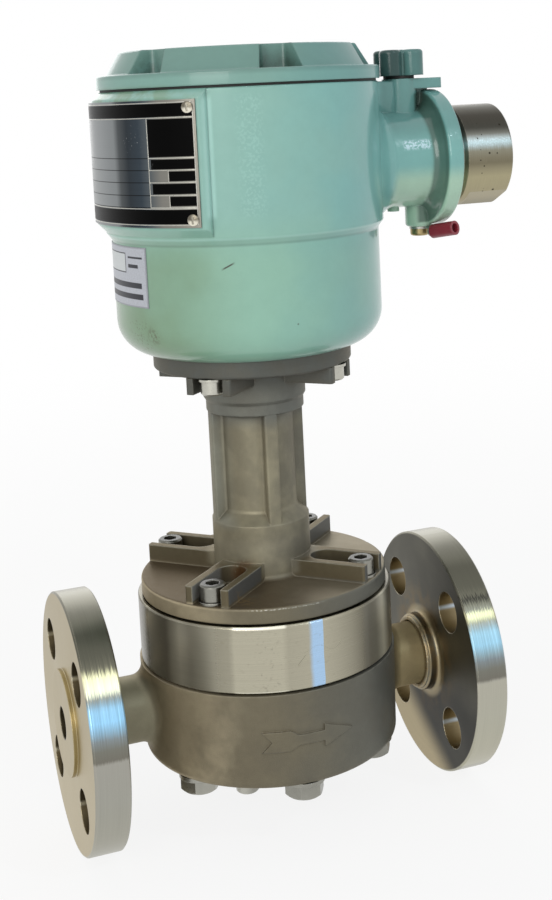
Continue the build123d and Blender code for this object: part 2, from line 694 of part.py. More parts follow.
def column():
    """Round column with four flat ribs and a hollow panel between each pair."""
    hub, core, collar = COLUMN_OD / 2, COLUMN_CORE / 2, COLLAR_OD / 2
    points = [(0, BASE_BOTTOM), (BASE_OD / 2, BASE_BOTTOM), (BASE_OD / 2, BASE_TOP), (hub, BASE_TOP),
              (hub, HUB_TOP), (core, HUB_TOP + FLARE), (core, PANEL_TOP), (hub, PANEL_TOP),
              (hub, PANEL_TOP + COLLAR_LEDGE), (collar, PANEL_TOP + COLLAR_LEDGE + COLLAR_SLOPE),
              (collar, HEAD_FLANGE_BOTTOM), (HEAD_FLANGE_OD / 2, HEAD_FLANGE_BOTTOM),
              (HEAD_FLANGE_OD / 2, HEAD_SEAT), (HEAD_SPIGOT_D / 2, HEAD_SEAT),
              (HEAD_SPIGOT_D / 2, HEAD_SEAT + HEAD_SPIGOT), (0, HEAD_SEAT + HEAD_SPIGOT)]
    rounds = [(2, 1.0), (3, CASTING_ROUND), (5, CASTING_ROUND), (6, CASTING_ROUND), (7, 0.6),
              (10, CASTING_ROUND), (11, 1.0)]
    body = turned(points, rounds)
    low, high = HUB_TOP - RIB_OVERRUN, PANEL_TOP + RIB_OVERRUN
    return body + extrude(Pos(0, 0, low) * rib_outline(), high - low)


def rib_outline():
    """Plan of the column between hub and collar: round core, four ribs, rounded roots and corners."""
    inner, outer = COLUMN_CORE / 2 - RIB_SET_IN, COLUMN_OD / 2 - RIB_SET_IN
    spokes = Rectangle(COLUMN_OD, COLUMN_RIB_WIDTH) + Rot(0, 0, 90) * Rectangle(COLUMN_OD, COLUMN_RIB_WIDTH)
    outline = Circle(inner) + (spokes & Circle(outer))
    outline = fillet(outline.vertices().filter_by(lambda v: hypot(v.X, v.Y) < inner + 0.5), RIB_ROOT)
    return fillet(outline.vertices().filter_by(lambda v: hypot(v.X, v.Y) > outer - 0.5), RIB_CORNER)


def screw_pocket(width, reach, low, high, pocket_from):
    """Block from the column outward with a round-ended pocket for a screw, leaving two ribs."""
    start = COLUMN_CORE / 2
    channel = width - LUG_THICKNESS
    block = Pos(start, 0, low) * Box(reach - start, width + LUG_THICKNESS, high - low,
                                     align=(Align.MIN, Align.CENTER, Align.MIN))
    block = fillet(block.edges().filter_by(Axis.Z).group_by(Axis.X)[-1], LUG_THICKNESS * 0.3)
    pocket = post(channel, low, high, pocket_from + channel / 2)
    pocket += Pos(pocket_from + channel / 2, 0, low) * Box(reach, channel, high - low,
                                                         align=(Align.MIN, Align.CENTER, Align.MIN))
    return block - pocket


def extension_casting():
    """One casting: base disc, hub, ribbed column, collar and head flange, with the screw lugs."""
    body = column()
    for angle, _, _ in around(SCREW_COUNT, BASE_SCREW_CIRCLE, 45):
        low = screw_pocket(BASE_LUG_SPACING, BASE_LUG_REACH, BASE_TOP, BASE_TOP + BASE_LUG_RISE,
                           BASE_POCKET_FROM)
        high = screw_pocket(HEAD_LUG_SPACING, HEAD_LUG_REACH, HEAD_FLANGE_BOTTOM - HEAD_LUG_DROP,
                            HEAD_FLANGE_BOTTOM, HEAD_POCKET_FROM)
        body += [Rot(0, 0, angle) * low, Rot(0, 0, angle) * high]
    body -= post(SHAFT_TUNNEL, BASE_BOTTOM, HEAD_SEAT + HEAD_SPIGOT)
    body -= [bearing_room(low) for low in bearing_heights()]
    body -= [post(BASE_SCREW[0] + CLEARANCE_HOLE, BASE_BOTTOM, BASE_TOP, x, y)
             for _, x, y in around(SCREW_COUNT, BASE_SCREW_CIRCLE, 45)]
    body -= [post(HEAD_SCREW[0] + CLEARANCE_HOLE, HEAD_FLANGE_BOTTOM, HEAD_SEAT, x, y)
             for _, x, y in around(SCREW_COUNT, HEAD_SCREW_CIRCLE, 45)]
    return body


def bearing_heights():
    """Undersides of the two shaft bearings."""
    return BASE_BOTTOM + 2, HEAD_SEAT + HEAD_SPIGOT - BEARING_HEIGHT


def bearing_room(low):
    """Seat of a bearing, open to the nearer end of the casting."""
    if low < PANEL_TOP:
        return post(BEARING_OD, BASE_BOTTOM, low + BEARING_HEIGHT)
    return post(BEARING_OD, low, HEAD_SEAT + HEAD_SPIGOT)


def bearing(low):
    """Plain shaft bearing with a chamfered bore."""
    return ring(BEARING_OD, SHAFT_D + 2 * RUNNING_GAP, low, low + BEARING_HEIGHT)


def base_screws():
    """Cap screws that hold the extension on the chamber cover."""
    seat = BASE_TOP + WASHER_THICKNESS
    reach = seat - (COVER_TOP - BASE_SCREW_REACH)
    return [Pos(x, y, seat) * Rot(0, 0, 10) * cap_screw(BASE_SCREW, reach)
            for _, x, y in around(SCREW_COUNT, BASE_SCREW_CIRCLE, 45)]


def head_screws():
    """Cap screws that hold the head, driven from below."""
    seat = HEAD_FLANGE_BOTTOM - WASHER_THICKNESS
    reach = HEAD_SEAT + HEAD_SCREW_REACH - seat
    return [Pos(x, y, seat) * Rot(180, 0, 0) * cap_screw(HEAD_SCREW, reach)
            for _, x, y in around(SCREW_COUNT, HEAD_SCREW_CIRCLE, 45)]


def small_washers(screw, circle, low):
    """One washer under each cap screw of a circle."""
    outer = screw[1] + WASHER_OVERHANG
    return [ring(outer, screw[0] + CLEARANCE_HOLE, low, low + WASHER_THICKNESS, x, y)
            for _, x, y in around(SCREW_COUNT, circle, 45)]


# Shaft

def follower_magnet():
    """Magnet in a turned holder at the foot of the shaft."""
    low = FOLLOWER_FLOOR + FOLLOWER_LIFT
    body = post(MAGNET_D, low, low + MAGNET_HEIGHT) + post(ROTOR_HUB_D, low, low + MAGNET_HEIGHT + 2)
    return body - post(SHAFT_D, low + 2, low + MAGNET_HEIGHT + 2)


def drive_shaft():
    """Long shaft from the follower magnet up into the head."""
    shaft = post(SHAFT_D, FOLLOWER_FLOOR + FOLLOWER_LIFT + 2, SHAFT_TOP)
    shaft = chamfer(shaft.edges().group_by(Axis.Z)[-1], 0.4)
    collar, height = SHAFT_COLLAR
    seat = bearing_heights()[0] + BEARING_HEIGHT + RUNNING_GAP
    return shaft + post(collar, seat, seat + height)


def pulse_disc():
    """Slotted disc and its hub."""
    top = PULSE_DISC_HEIGHT + PULSE_DISC_THICKNESS
    disc = post(PULSE_DISC_D, PULSE_DISC_HEIGHT, top) + post(PULSE_HUB_D, PULSE_DISC_HEIGHT - PULSE_HUB, top)
    radius = PULSE_DISC_D / 2
    for angle, _, _ in around(PULSE_SLOT_COUNT, PULSE_DISC_D):
        slot = Box(*PULSE_SLOT, PULSE_DISC_THICKNESS, align=STANDING)
        slot = Pos(radius - PULSE_SLOT_INSET, 0, PULSE_DISC_HEIGHT) * slot
        disc -= Rot(0, 0, angle) * slot
    return disc - post(SHAFT_D, PULSE_DISC_HEIGHT - PULSE_HUB, top)


# Head

def head_shell():
    """Turned outline of the head: rounded bottom, sloped step, wider upper drum, open mouth."""
    lower, upper = HEAD_LOWER_OD / 2, HEAD_UPPER_OD / 2
    outside = [(0, HEAD_SEAT), (lower, HEAD_SEAT), (lower, HEAD_STEP), (upper, HEAD_STEP + HEAD_STEP_SLOPE),
               (upper, HEAD_TOP), (0, HEAD_TOP)]
    rounds = [(1, HEAD_BOTTOM_ROUND), (2, HEAD_STEP_ROUND), (3, HEAD_STEP_ROUND), (4, HEAD_TOP_ROUND)]
    shell = turned(outside, rounds)
    inner = lower - HEAD_WALL
    inside = [(0, FLOOR_TOP), (inner, FLOOR_TOP), (inner, HEAD_TOP), (0, HEAD_TOP)]
    shell -= turned(inside, [(1, HEAD_BOTTOM_ROUND - HEAD_WALL)])
    return shell - post(MOUTH_D, HEAD_TOP - MOUTH_DEPTH, HEAD_TOP)


def plate_pad():
    """Raised pad that carries the nameplate, sloped above and below."""
    radius, upper = PAD_OD / 2, HEAD_UPPER_OD / 2
    low = PLATE_BOTTOM - PAD_EDGE
    high = PLATE_BOTTOM + PLATE_HEIGHT + PAD_EDGE
    root = upper - PAD_SET_IN
    points = [(root, low - PAD_EDGE - PAD_SLOPE_BELOW), (radius, low), (radius, high),
              (upper, high + PAD_EDGE + PAD_SLOPE_ABOVE), (root, high + PAD_EDGE + PAD_SLOPE_ABOVE)]
    band = turned(points, [(1, PAD_EDGE), (2, PAD_EDGE)])
    plan = pad_plan(radius, root / 2)
    return band & extrude(Pos(0, 0, points[0][1]) * plan, points[-1][1] - points[0][1])


def pad_plan(radius, inner):
    """Plan of the pad: a sector past both ends of the plate, with rounded outer corners."""
    margin = degrees(PAD_MARGIN / radius)
    start, end = radians(PLATE_FROM_ANGLE - margin), radians(PLATE_TO_ANGLE + margin)
    middle = (start + end) / 2
    places = [(inner, start), (radius, start), (radius, end), (inner, end)]
    corners = [(r * cos(a), r * sin(a)) for r, a in places]
    bulge = ThreePointArc(corners[1], (radius * cos(middle), radius * sin(middle)), corners[2])
    plan = make_face([Line(corners[0], corners[1]), bulge, Line(corners[2], corners[3]),
                      Line(corners[3], corners[0])])
    outer = plan.vertices().filter_by(lambda v: hypot(v.X, v.Y) > radius - PAD_RISE)
    return fillet(outer, PAD_ROUND)


def conduit_neck():
    """Side neck with a hollow groove behind its round flange."""
    neck, rim = CONDUIT_NECK_OD / 2, CONDUIT_FLANGE_OD / 2
    back = CONDUIT_FLANGE_X - CONDUIT_FLANGE
    root = HEAD_LOWER_OD / 2 - 2 * HEAD_WALL
    points = [(0, root), (neck, root), (neck, back), (rim, back),
              (rim, CONDUIT_FLANGE_X), (0, CONDUIT_FLANGE_X)]
    body = turned(points, [(2, CONDUIT_GROOVE), (3, CONDUIT_BACK_ROUND), (4, CONDUIT_FACE_ROUND)])
    return Pos(0, 0, CONDUIT_HEIGHT) * Rot(0, 90, 0) * body


def filler_boss():
    """Upright boss for the lobed plug, with a flat tab out to the conduit flange."""
    body = post(BOSS_OD, CONDUIT_HEIGHT, BOSS_TOP, BOSS_X)
    hung = (Align.MIN, Align.CENTER, Align.MAX)
    tab = Pos(BOSS_X, 0, BOSS_TOP) * Box(TAB_END - BOSS_X, TAB_WIDTH, TAB_DROP, align=hung)
    web_length = CONDUIT_FLANGE_X - CONDUIT_FLANGE / 2 - BOSS_X
    web = Pos(BOSS_X, 0, BOSS_TOP) * Box(web_length, TAB_WIDTH / 3, BOSS_TOP - CONDUIT_HEIGHT, align=hung)
    return body + fillet(tab.edges().filter_by(Axis.Z).group_by(Axis.X)[-1], TAB_WIDTH / 8) + web


def earth_boss():
    """Boss under the conduit flange for the earth screw."""
    boss = post(EARTH_BOSS_OD, EARTH_BOSS_BOTTOM, CONDUIT_HEIGHT - CONDUIT_PASSAGE / 2, EARTH_X)
    return fillet(boss.edges().group_by(Axis.Z)[0], EARTH_BOSS_ROUND)


def head_housing():
    """Cast head with its pad, side neck and bosses in one piece."""
    body = head_shell() + conduit_neck()
    body = fillet([e for e in body.edges() if is_conduit_seam(e)], CONDUIT_ROOT)
    nub = post(NUB_D, NUB_BOTTOM, CONDUIT_HEIGHT - CONDUIT_PASSAGE / 2, NUB_X)
    body = body + plate_pad() + filler_boss() + earth_boss() + nub
    body -= post(HEAD_INNER_D, FLOOR_TOP + HEAD_BOTTOM_ROUND, HEAD_TOP)
    body -= post(MOUTH_D, HEAD_TOP - MOUTH_DEPTH, HEAD_TOP)
    sideways = Pos(0, 0, CONDUIT_HEIGHT) * Rot(0, 90, 0)
    body -= sideways * post(CONDUIT_PASSAGE, 0, CONDUIT_FLANGE_X)
    body -= sideways * post(CONDUIT_THREAD, CONDUIT_FLANGE_X - CONDUIT_THREAD_REACH, CONDUIT_FLANGE_X)
    body -= post(HEAD_SPIGOT_D, HEAD_SEAT, FLOOR_TOP)
    body -= [post(HEAD_SCREW[0], HEAD_SEAT, HEAD_SEAT + HEAD_SCREW_REACH, x, y)
             for _, x, y in around(SCREW_COUNT, HEAD_SCREW_CIRCLE, 45)]
    body -= post(BOSS_THREAD + 2 * CAP_THREAD_GAP, BOSS_TOP - BOSS_THREAD_DEPTH, BOSS_TOP, BOSS_X)
    return body - post(EARTH_SCREW[0], EARTH_BOSS_BOTTOM, EARTH_BOSS_BOTTOM + EARTH_THREAD, EARTH_X)


def is_conduit_seam(edge):
    """True for an edge where the side neck leaves the upper drum."""
    box = edge.bounding_box()
    radius = HEAD_UPPER_OD / 2
    beside = box.min.X > radius - 1.5 * MOUTH_WALL and box.max.X < radius + PAD_EDGE
    return beside and box.max.Z - box.min.Z > CONDUIT_NECK_OD * 0.4


def notch():
    """Spanner notch in the crown of the cover: wide at the rim, narrow at the back."""
    outer, back = CROWN_BASE_OD / 2 + 2, CROWN_BASE_OD / 2 - CAP_NOTCH_DEPTH
    points = [(outer, -CAP_NOTCH_WIDTH / 2 - 1), (back, -CAP_NOTCH_BACK / 2), (back, CAP_NOTCH_BACK / 2),
              (outer, CAP_NOTCH_WIDTH / 2 + 1)]
    outline = profile(points, [(1, CAP_NOTCH_ROUND), (2, CAP_NOTCH_ROUND)])
    return Pos(0, 0, CROWN_BOTTOM) * extrude(outline, 2 * CROWN_RISE)


def top_cover():
    """Screwed cover: rim, sloped crown with spanner notches, and threaded skirt."""
    rim, crown, top = CAP_RIM_OD / 2, CROWN_BASE_OD / 2, CROWN_TOP_OD / 2
    skirt = MOUTH_D / 2 - CAP_THREAD_GAP
    crown_top = CROWN_BOTTOM + CROWN_RISE
    foot = CAP_BOTTOM - CAP_SKIRT
    points = [(0, foot), (skirt, foot), (skirt, CAP_BOTTOM), (rim, CAP_BOTTOM), (rim, CROWN_BOTTOM),
              (crown, CROWN_BOTTOM), (top, crown_top), (0, crown_top)]
    body = turned(points, [(4, 0.9), (5, 0.8), (6, 1.2)])
    body -= [Rot(0, 0, angle) * notch()
             for angle, _, _ in around(CAP_NOTCH_COUNT, CROWN_BASE_OD, CAP_NOTCH_ANGLE)]
    hollow = skirt - CAP_SKIRT_WALL
    ceiling = CROWN_BOTTOM - CAP_WALL / 4
    crater = crown - CAP_NOTCH_DEPTH - CAP_WALL
    inside = [(0, foot), (hollow, foot), (hollow, ceiling - CAP_WALL / 2), (crater, ceiling),
              (crater, crown_top - CAP_WALL), (0, crown_top - CAP_WALL)]
    return body - turned(inside)


def cover_seal():
    """Black ring in the gap between the cover and the head."""
    return ring(CAP_RIM_OD - 2 * SEAL_INSET, MOUTH_D + 0.6, HEAD_TOP, CAP_BOTTOM)


def plug_cap():
    """Lobed hand plug with a threaded stem."""
    low = BOSS_TOP + PLUG_SEAL
    lobe_at = PLUG_REACH - PLUG_LOBE_D / 2
    outline = Circle(lobe_at)
    for _, x, y in around(PLUG_LOBE_COUNT, 2 * lobe_at, PLUG_ANGLE):
        outline += Pos(x, y) * Circle(PLUG_LOBE_D / 2)
    knob = Pos(0, 0, low) * extrude(outline, PLUG_HEIGHT)
    knob = fillet(knob.edges().group_by(Axis.Z)[-1], 1.4)
    stem = post(BOSS_THREAD, low - PLUG_SEAL - PLUG_STEM_LENGTH, low)
    return Pos(BOSS_X, 0, 0) * (knob + stem)


def plug_seal():
    """Black washer under the plug."""
    return ring(PLUG_SEAL_OD, BOSS_THREAD, BOSS_TOP, BOSS_TOP + PLUG_SEAL, BOSS_X)


# Conduit adapter and earth terminal

def conduit_adapter():
    """Machined adapter: thread, collar, barrel with two spanner flats, through bore."""
    start = CONDUIT_FLANGE_X + ADAPTER_SEAL
    barrel, collar, thread = ADAPTER_OD / 2, ADAPTER_COLLAR_OD / 2, CONDUIT_THREAD / 2
    inner_end = CONDUIT_FLANGE_X - CONDUIT_THREAD_REACH
    points = [(0, inner_end), (thread, inner_end), (thread, start), (collar, start),
              (collar, start + ADAPTER_COLLAR), (barrel, start + ADAPTER_COLLAR + 1.4),
              (barrel, ADAPTER_END), (0, ADAPTER_END)]
    body = turned(points, [(6, 0.8)])
    flats = Box(2 * ADAPTER_OD, ADAPTER_OD - 2 * ADAPTER_FLAT_DROP, ADAPTER_END, align=STANDING)
    flats = Rot(0, 0, 90 - ADAPTER_FLAT_TILT) * Pos(0, 0, start + ADAPTER_COLLAR) * flats
    lower = post(ADAPTER_OD + 2, inner_end, start + ADAPTER_COLLAR + 4)
    body = body & (flats + lower)
    body -= post(ADAPTER_BORE, inner_end, ADAPTER_END)
    body = chamfer(body.edges().filter_by(GeomType.CIRCLE).sort_by(Axis.Z)[-1], 0.8)
    return Pos(0, 0, CONDUIT_HEIGHT) * Rot(0, 90, 0) * body


def adapter_seal():
    """Thin seal between the conduit flange and the adapter."""
    disc = ring(ADAPTER_COLLAR_OD, CONDUIT_THREAD, CONDUIT_FLANGE_X, CONDUIT_FLANGE_X + ADAPTER_SEAL)
    return Pos(0, 0, CONDUIT_HEIGHT) * Rot(0, 90, 0) * disc


def earth_screw():
    """Pan-head earth screw, head down, clamping the ring terminal."""
    thread, head, height = EARTH_SCREW
    body = post(head, 0, height) + post(thread, -EARTH_THREAD - RING_THICKNESS, 0)
    body = fillet(body.edges().group_by(Axis.Z)[-1], height * 0.35)
    body -= Pos(0, 0, height) * Box(head * 0.8, 1.0, height)
    return Pos(EARTH_X, 0, EARTH_BOSS_BOTTOM - RING_THICKNESS) * Rot(180, 0, 0) * body


def ring_terminal():
    """Ring under the earth screw with its shank inside the sleeve."""
    low = EARTH_BOSS_BOTTOM - RING_THICKNESS
    eye = ring(RING_OD, EARTH_SCREW[0] + 0.3, low, EARTH_BOSS_BOTTOM)
    root = RING_OD / 2 - 0.8
    tongue = Pos(root, 0, low) * Box(SLEEVE_START - TONGUE_GAP - root, TONGUE_WIDTH, RING_THICKNESS,
                                     align=(Align.MIN, Align.CENTER, Align.MIN))
    shank = sleeve_frame() * Pos(0, 0, -SHANK_LEAD) * Cylinder(SLEEVE_BORE / 2, RING_SHANK, align=STANDING)
    return Pos(EARTH_X, 0, 0) * Rot(0, 0, SLEEVE_ANGLE) * (eye + tongue + shank)


def sleeve_frame():
    """Place and direction of the sleeve, seen from the earth screw along +X."""
    middle = EARTH_BOSS_BOTTOM - RING_THICKNESS / 2 - SLEEVE_DROP
    return Pos(SLEEVE_START, 0, middle) * Rot(0, 90 - SLEEVE_TILT, 0)


def terminal_sleeve():
    """Insulating sleeve round the terminal's shank, open at the end."""
    body = Cylinder(SLEEVE_D / 2, SLEEVE_LENGTH, align=STANDING)
    body -= Cylinder(SLEEVE_BORE / 2, SLEEVE_LENGTH, align=STANDING)
    return Pos(EARTH_X, 0, 0) * Rot(0, 0, SLEEVE_ANGLE) * sleeve_frame() * body


# Plates

def nameplate():
    """Curved plate on the pad."""
    inner = PAD_OD / 2
    return sectored(inner, inner + PLATE_THICKNESS, PLATE_BOTTOM, PLATE_BOTTOM + PLATE_HEIGHT,
                    PLATE_FROM_ANGLE, PLATE_TO_ANGLE)


def nameplate_screws():
    """Domed drive screws at the plate's corners."""
    outer = PAD_OD / 2 + PLATE_THICKNESS
    inset = degrees(PLATE_SCREW_INSET / outer)
    screws = []
    for angle in (PLATE_FROM_ANGLE + inset, PLATE_TO_ANGLE - inset):
        for height in (PLATE_BOTTOM + PLATE_SCREW_INSET, PLATE_BOTTOM + PLATE_HEIGHT - PLATE_SCREW_INSET):
            edge = PLATE_SCREW_D / 2
            dome = turned([(0, -0.2), (edge, -0.2), (edge, 0.5), (0, PLATE_SCREW_RISE)])
            dome -= Pos(0, 0, PLATE_SCREW_RISE) * Box(PLATE_SCREW_D, 0.7, 1.0)
            screws.append(Rot(0, 0, angle) * Pos(outer, 0, height) * Rot(0, 90, 0) * dome)
    keep_out = post(2 * outer, PLATE_BOTTOM, PLATE_BOTTOM + PLATE_HEIGHT)
    return [screw - keep_out for screw in screws]


def info_label():
    """Thin self-adhesive label on the lower drum."""
    inner = HEAD_LOWER_OD / 2
    return sectored(inner, inner + LABEL_THICKNESS, LABEL_BOTTOM, LABEL_BOTTOM + LABEL_HEIGHT,
                    LABEL_FROM_ANGLE, LABEL_TO_ANGLE)


# Electronics

def sensor_bracket():
    """Upright bracket on the floor that carries the sensor."""
    x = -(PULSE_DISC_D / 2 + SENSOR[0] - SENSOR_OVERLAP)
    beside = (Align.MIN, Align.CENTER, Align.MIN)
    foot = Pos(x - BRACKET, 0, FLOOR_TOP) * Box(SENSOR[0], SENSOR[1], BRACKET, align=beside)
    height = PULSE_DISC_HEIGHT + SENSOR[2] / 2 - FLOOR_TOP
    wall = Pos(x - BRACKET, 0, FLOOR_TOP) * Box(BRACKET, SENSOR[1], height, align=beside)
    return foot + wall


def sensor_head():
    """Slotted sensor that straddles the disc's edge."""
    x = -(PULSE_DISC_D / 2 + SENSOR[0] - SENSOR_OVERLAP)
    middle = PULSE_DISC_HEIGHT + PULSE_DISC_THICKNESS / 2
    body = Pos(x, 0, middle) * Box(*SENSOR, align=(Align.MIN, Align.CENTER, Align.CENTER))
    slot = Pos(-PULSE_DISC_D / 2 - 1.5, 0, middle) * Box(SENSOR[0], SENSOR[1], SENSOR_GAP,
                                                      align=(Align.MIN, Align.CENTER, Align.CENTER))
    return body - slot


def board_places():
    """Centres of the board's posts."""
    return [(x, y) for _, x, y in around(POST_COUNT, POST_CIRCLE, POST_ANGLE)]


def board_posts():
    """Posts that hold the circuit board above the floor."""
    hole, foot = BOARD_SCREW[0], BOARD_HEIGHT - BOARD_THREAD
    return [post(POST_D, FLOOR_TOP, BOARD_HEIGHT, x, y) - post(hole, foot, BOARD_HEIGHT, x, y)
            for x, y in board_places()]


def circuit_board():
    """Round board with its screw holes."""
    board = post(BOARD_D, BOARD_HEIGHT, BOARD_TOP)
    hole = BOARD_SCREW[0] + 2 * BOARD_HOLE_GAP
    return board - [post(hole, BOARD_HEIGHT, BOARD_TOP, x, y) for x, y in board_places()]


def board_screws():
    """Screws through the board into the posts."""
    reach = BOARD_THICKNESS + BOARD_THREAD
    return [Pos(x, y, BOARD_TOP) * cap_screw(BOARD_SCREW, reach) for x, y in board_places()]


def cell_places():
    """Centres of the terminal block's cells."""
    pitch = BLOCK[0] / BLOCK_CELL_COUNT
    return [(pitch * (i - (BLOCK_CELL_COUNT - 1) / 2), BLOCK_OFFSET) for i in range(BLOCK_CELL_COUNT)]


def terminal_block():
    """Block with a walled cell for each terminal."""
    block = Pos(0, BLOCK_OFFSET, BOARD_TOP) * Box(*BLOCK, align=STANDING)
    pitch = BLOCK[0] / BLOCK_CELL_COUNT
    for x, y in cell_places():
        cell = Box(pitch - CELL_GAP, BLOCK[1], BLOCK[2] / 2, align=STANDING)
        block -= Pos(x, y, BOARD_TOP + BLOCK[2] / 2) * cell
        block -= post(TERMINAL_SCREW[0], BOARD_TOP + BLOCK_FLOOR, BOARD_TOP + BLOCK[2] / 2, x, y)
    return block


def terminal_screws():
    """One screw in each cell."""
    seat = BOARD_TOP + BLOCK[2] / 2
    reach = BLOCK[2] / 2 - BLOCK_FLOOR
    return [Pos(x, y, seat) * cap_screw(TERMINAL_SCREW, reach) for x, y in cell_places()]


def seat_in_frame(shape):
    """Move a piece, or a group of like pieces, from the centre line to the part's frame."""
    pieces = shape if isinstance(shape, list) else [shape]
    placed = [Pos(FACE_TO_FACE / 2, 0, 0) * piece for piece in pieces]
    return placed[0] if len(placed) == 1 else Compound(children=placed)


def all_pieces():
    """Every node's name with its solid or group of solids."""
    half = ROTOR_SPACING / 2
    lower, upper = bearing_heights()
    return {
        "meter_body": meter_body(),
        "inlet_flange": flange(-1),
        "outlet_flange": flange(1),
        "rotor_a": rotor(0, -half, GEAR_TOP),
        "rotor_b": rotor(90, half, ROTOR_TOP),
        "rotor_bush_a": rotor_bush(-half, GEAR_TOP),
        "rotor_bush_b": rotor_bush(half, ROTOR_TOP),
        "rotor_pins": rotor_pins(),
        "drive_gear": drive_gear(),
        "output_gear": output_gear(),
        "drive_magnet": drive_magnet(),
        "output_pin": output_pin(),
        "body_gasket": body_gasket(),
        "chamber_cover": chamber_cover(),
        "body_bolts": body_bolts(),
        "body_washers": body_washers(),
        "drain_plug": drain_plug(),
        "extension_gasket": extension_gasket(),
        "extension_casting": extension_casting(),
        "base_screws": base_screws(),
        "base_washers": small_washers(BASE_SCREW, BASE_SCREW_CIRCLE, BASE_TOP),
        "head_screws": head_screws(),
        "head_washers": small_washers(HEAD_SCREW, HEAD_SCREW_CIRCLE, HEAD_FLANGE_BOTTOM - WASHER_THICKNESS),
        "follower_magnet": follower_magnet(),
        "drive_shaft": drive_shaft(),
        "lower_bearing": bearing(lower),
        "upper_bearing": bearing(upper),
        "pulse_disc": pulse_disc(),
        "head_housing": head_housing(),
        "top_cover": top_cover(),
        "cover_seal": cover_seal(),
        "plug_cap": plug_cap(),
        "plug_seal": plug_seal(),
        "conduit_adapter": conduit_adapter(),
        "adapter_seal": adapter_seal(),
        "earth_screw": earth_screw(),
        "ring_terminal": ring_terminal(),
        "terminal_sleeve": terminal_sleeve(),
        "nameplate": nameplate(),
        "nameplate_screws": nameplate_screws(),
        "info_label": info_label(),
        "sensor_bracket": sensor_bracket(),
        "sensor_head": sensor_head(),
        "board_posts": board_posts(),
        "circuit_board": circuit_board(),
        "board_screws": board_screws(),
        "terminal_block": terminal_block(),
        "terminal_screws": terminal_screws(),
    }


def main():
    """Write one STEP file for each node."""
    os.makedirs("parts", exist_ok=True)
    for name, shape in all_pieces().items():
        export_step(seat_in_frame(shape), f"parts/{name}.step")


main()
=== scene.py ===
import bmesh
import bpy
import math
from mathutils import Matrix, Vector


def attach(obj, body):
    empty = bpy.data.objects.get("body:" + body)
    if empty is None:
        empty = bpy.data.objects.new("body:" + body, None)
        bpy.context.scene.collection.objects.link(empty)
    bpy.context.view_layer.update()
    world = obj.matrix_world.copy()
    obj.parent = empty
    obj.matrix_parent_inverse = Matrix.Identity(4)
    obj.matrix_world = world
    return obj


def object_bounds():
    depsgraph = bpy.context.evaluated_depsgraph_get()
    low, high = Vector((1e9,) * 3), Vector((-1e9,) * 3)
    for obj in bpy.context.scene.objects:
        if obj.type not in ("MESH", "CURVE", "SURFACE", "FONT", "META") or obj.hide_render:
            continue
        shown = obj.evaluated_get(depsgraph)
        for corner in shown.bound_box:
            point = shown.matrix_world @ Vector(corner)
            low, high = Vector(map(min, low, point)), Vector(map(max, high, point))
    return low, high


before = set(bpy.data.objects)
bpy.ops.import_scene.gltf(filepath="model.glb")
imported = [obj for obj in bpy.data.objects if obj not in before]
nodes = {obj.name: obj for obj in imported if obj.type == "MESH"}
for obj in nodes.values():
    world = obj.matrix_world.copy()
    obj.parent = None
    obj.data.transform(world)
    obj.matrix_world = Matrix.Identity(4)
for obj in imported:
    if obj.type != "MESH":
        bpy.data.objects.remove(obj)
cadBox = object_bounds()
print("frame loaded:", len(nodes), "solids")

# The meter's upright centre line stands half the face-to-face length from the frame's origin
centreX = 0.081
# Height of the side neck's middle over the flow line, in millimetres
conduitZ = 200.3


def addObject(name, data):
    made = bpy.data.objects.new(name, data)
    bpy.context.scene.collection.objects.link(made)
    return made


# The camera, fitted to the photo, in metres
view = {
    "place": (-0.08222, -0.50503, 0.22908),
    "right": (0.930696, -0.36292, -0.045765),
    "up": (0.081993, 0.085049, 0.992997),
    "forward": (0.356487, 0.927931, -0.108912),
    "lens": 56.47, "sensor": 36, "shift": (-0.0521, -0.23), "clip": (0.01, 50),
}


def setCamera():
    data = bpy.data.cameras.new("camera")
    data.lens = view["lens"]
    data.sensor_width = view["sensor"]
    data.shift_x, data.shift_y = view["shift"]
    data.clip_start, data.clip_end = view["clip"]
    camera = addObject("camera", data)
    turn = Matrix((view["right"], view["up"], -Vector(view["forward"]))).transposed().to_4x4()
    camera.matrix_world = Matrix.Translation(view["place"]) @ turn
    bpy.context.scene.camera = camera


setCamera()
print("camera set")


# A value in a node tree: sums and products on it add the matching nodes
class Value:
    def __init__(self, graph, socket):
        self.graph, self.socket = graph, socket

    def __neg__(self):
        return self * -1

    def __abs__(self):
        return self.graph.sum("ABSOLUTE", self)


for name, operation in {"add": "ADD", "sub": "SUBTRACT", "mul": "MULTIPLY", "truediv": "DIVIDE"}.items():
    setattr(Value, f"__{name}__", lambda self, other, kind=operation: self.graph.sum(kind, self, other))
    setattr(Value, f"__r{name}__", lambda self, other, kind=operation: self.graph.sum(kind, other, self))


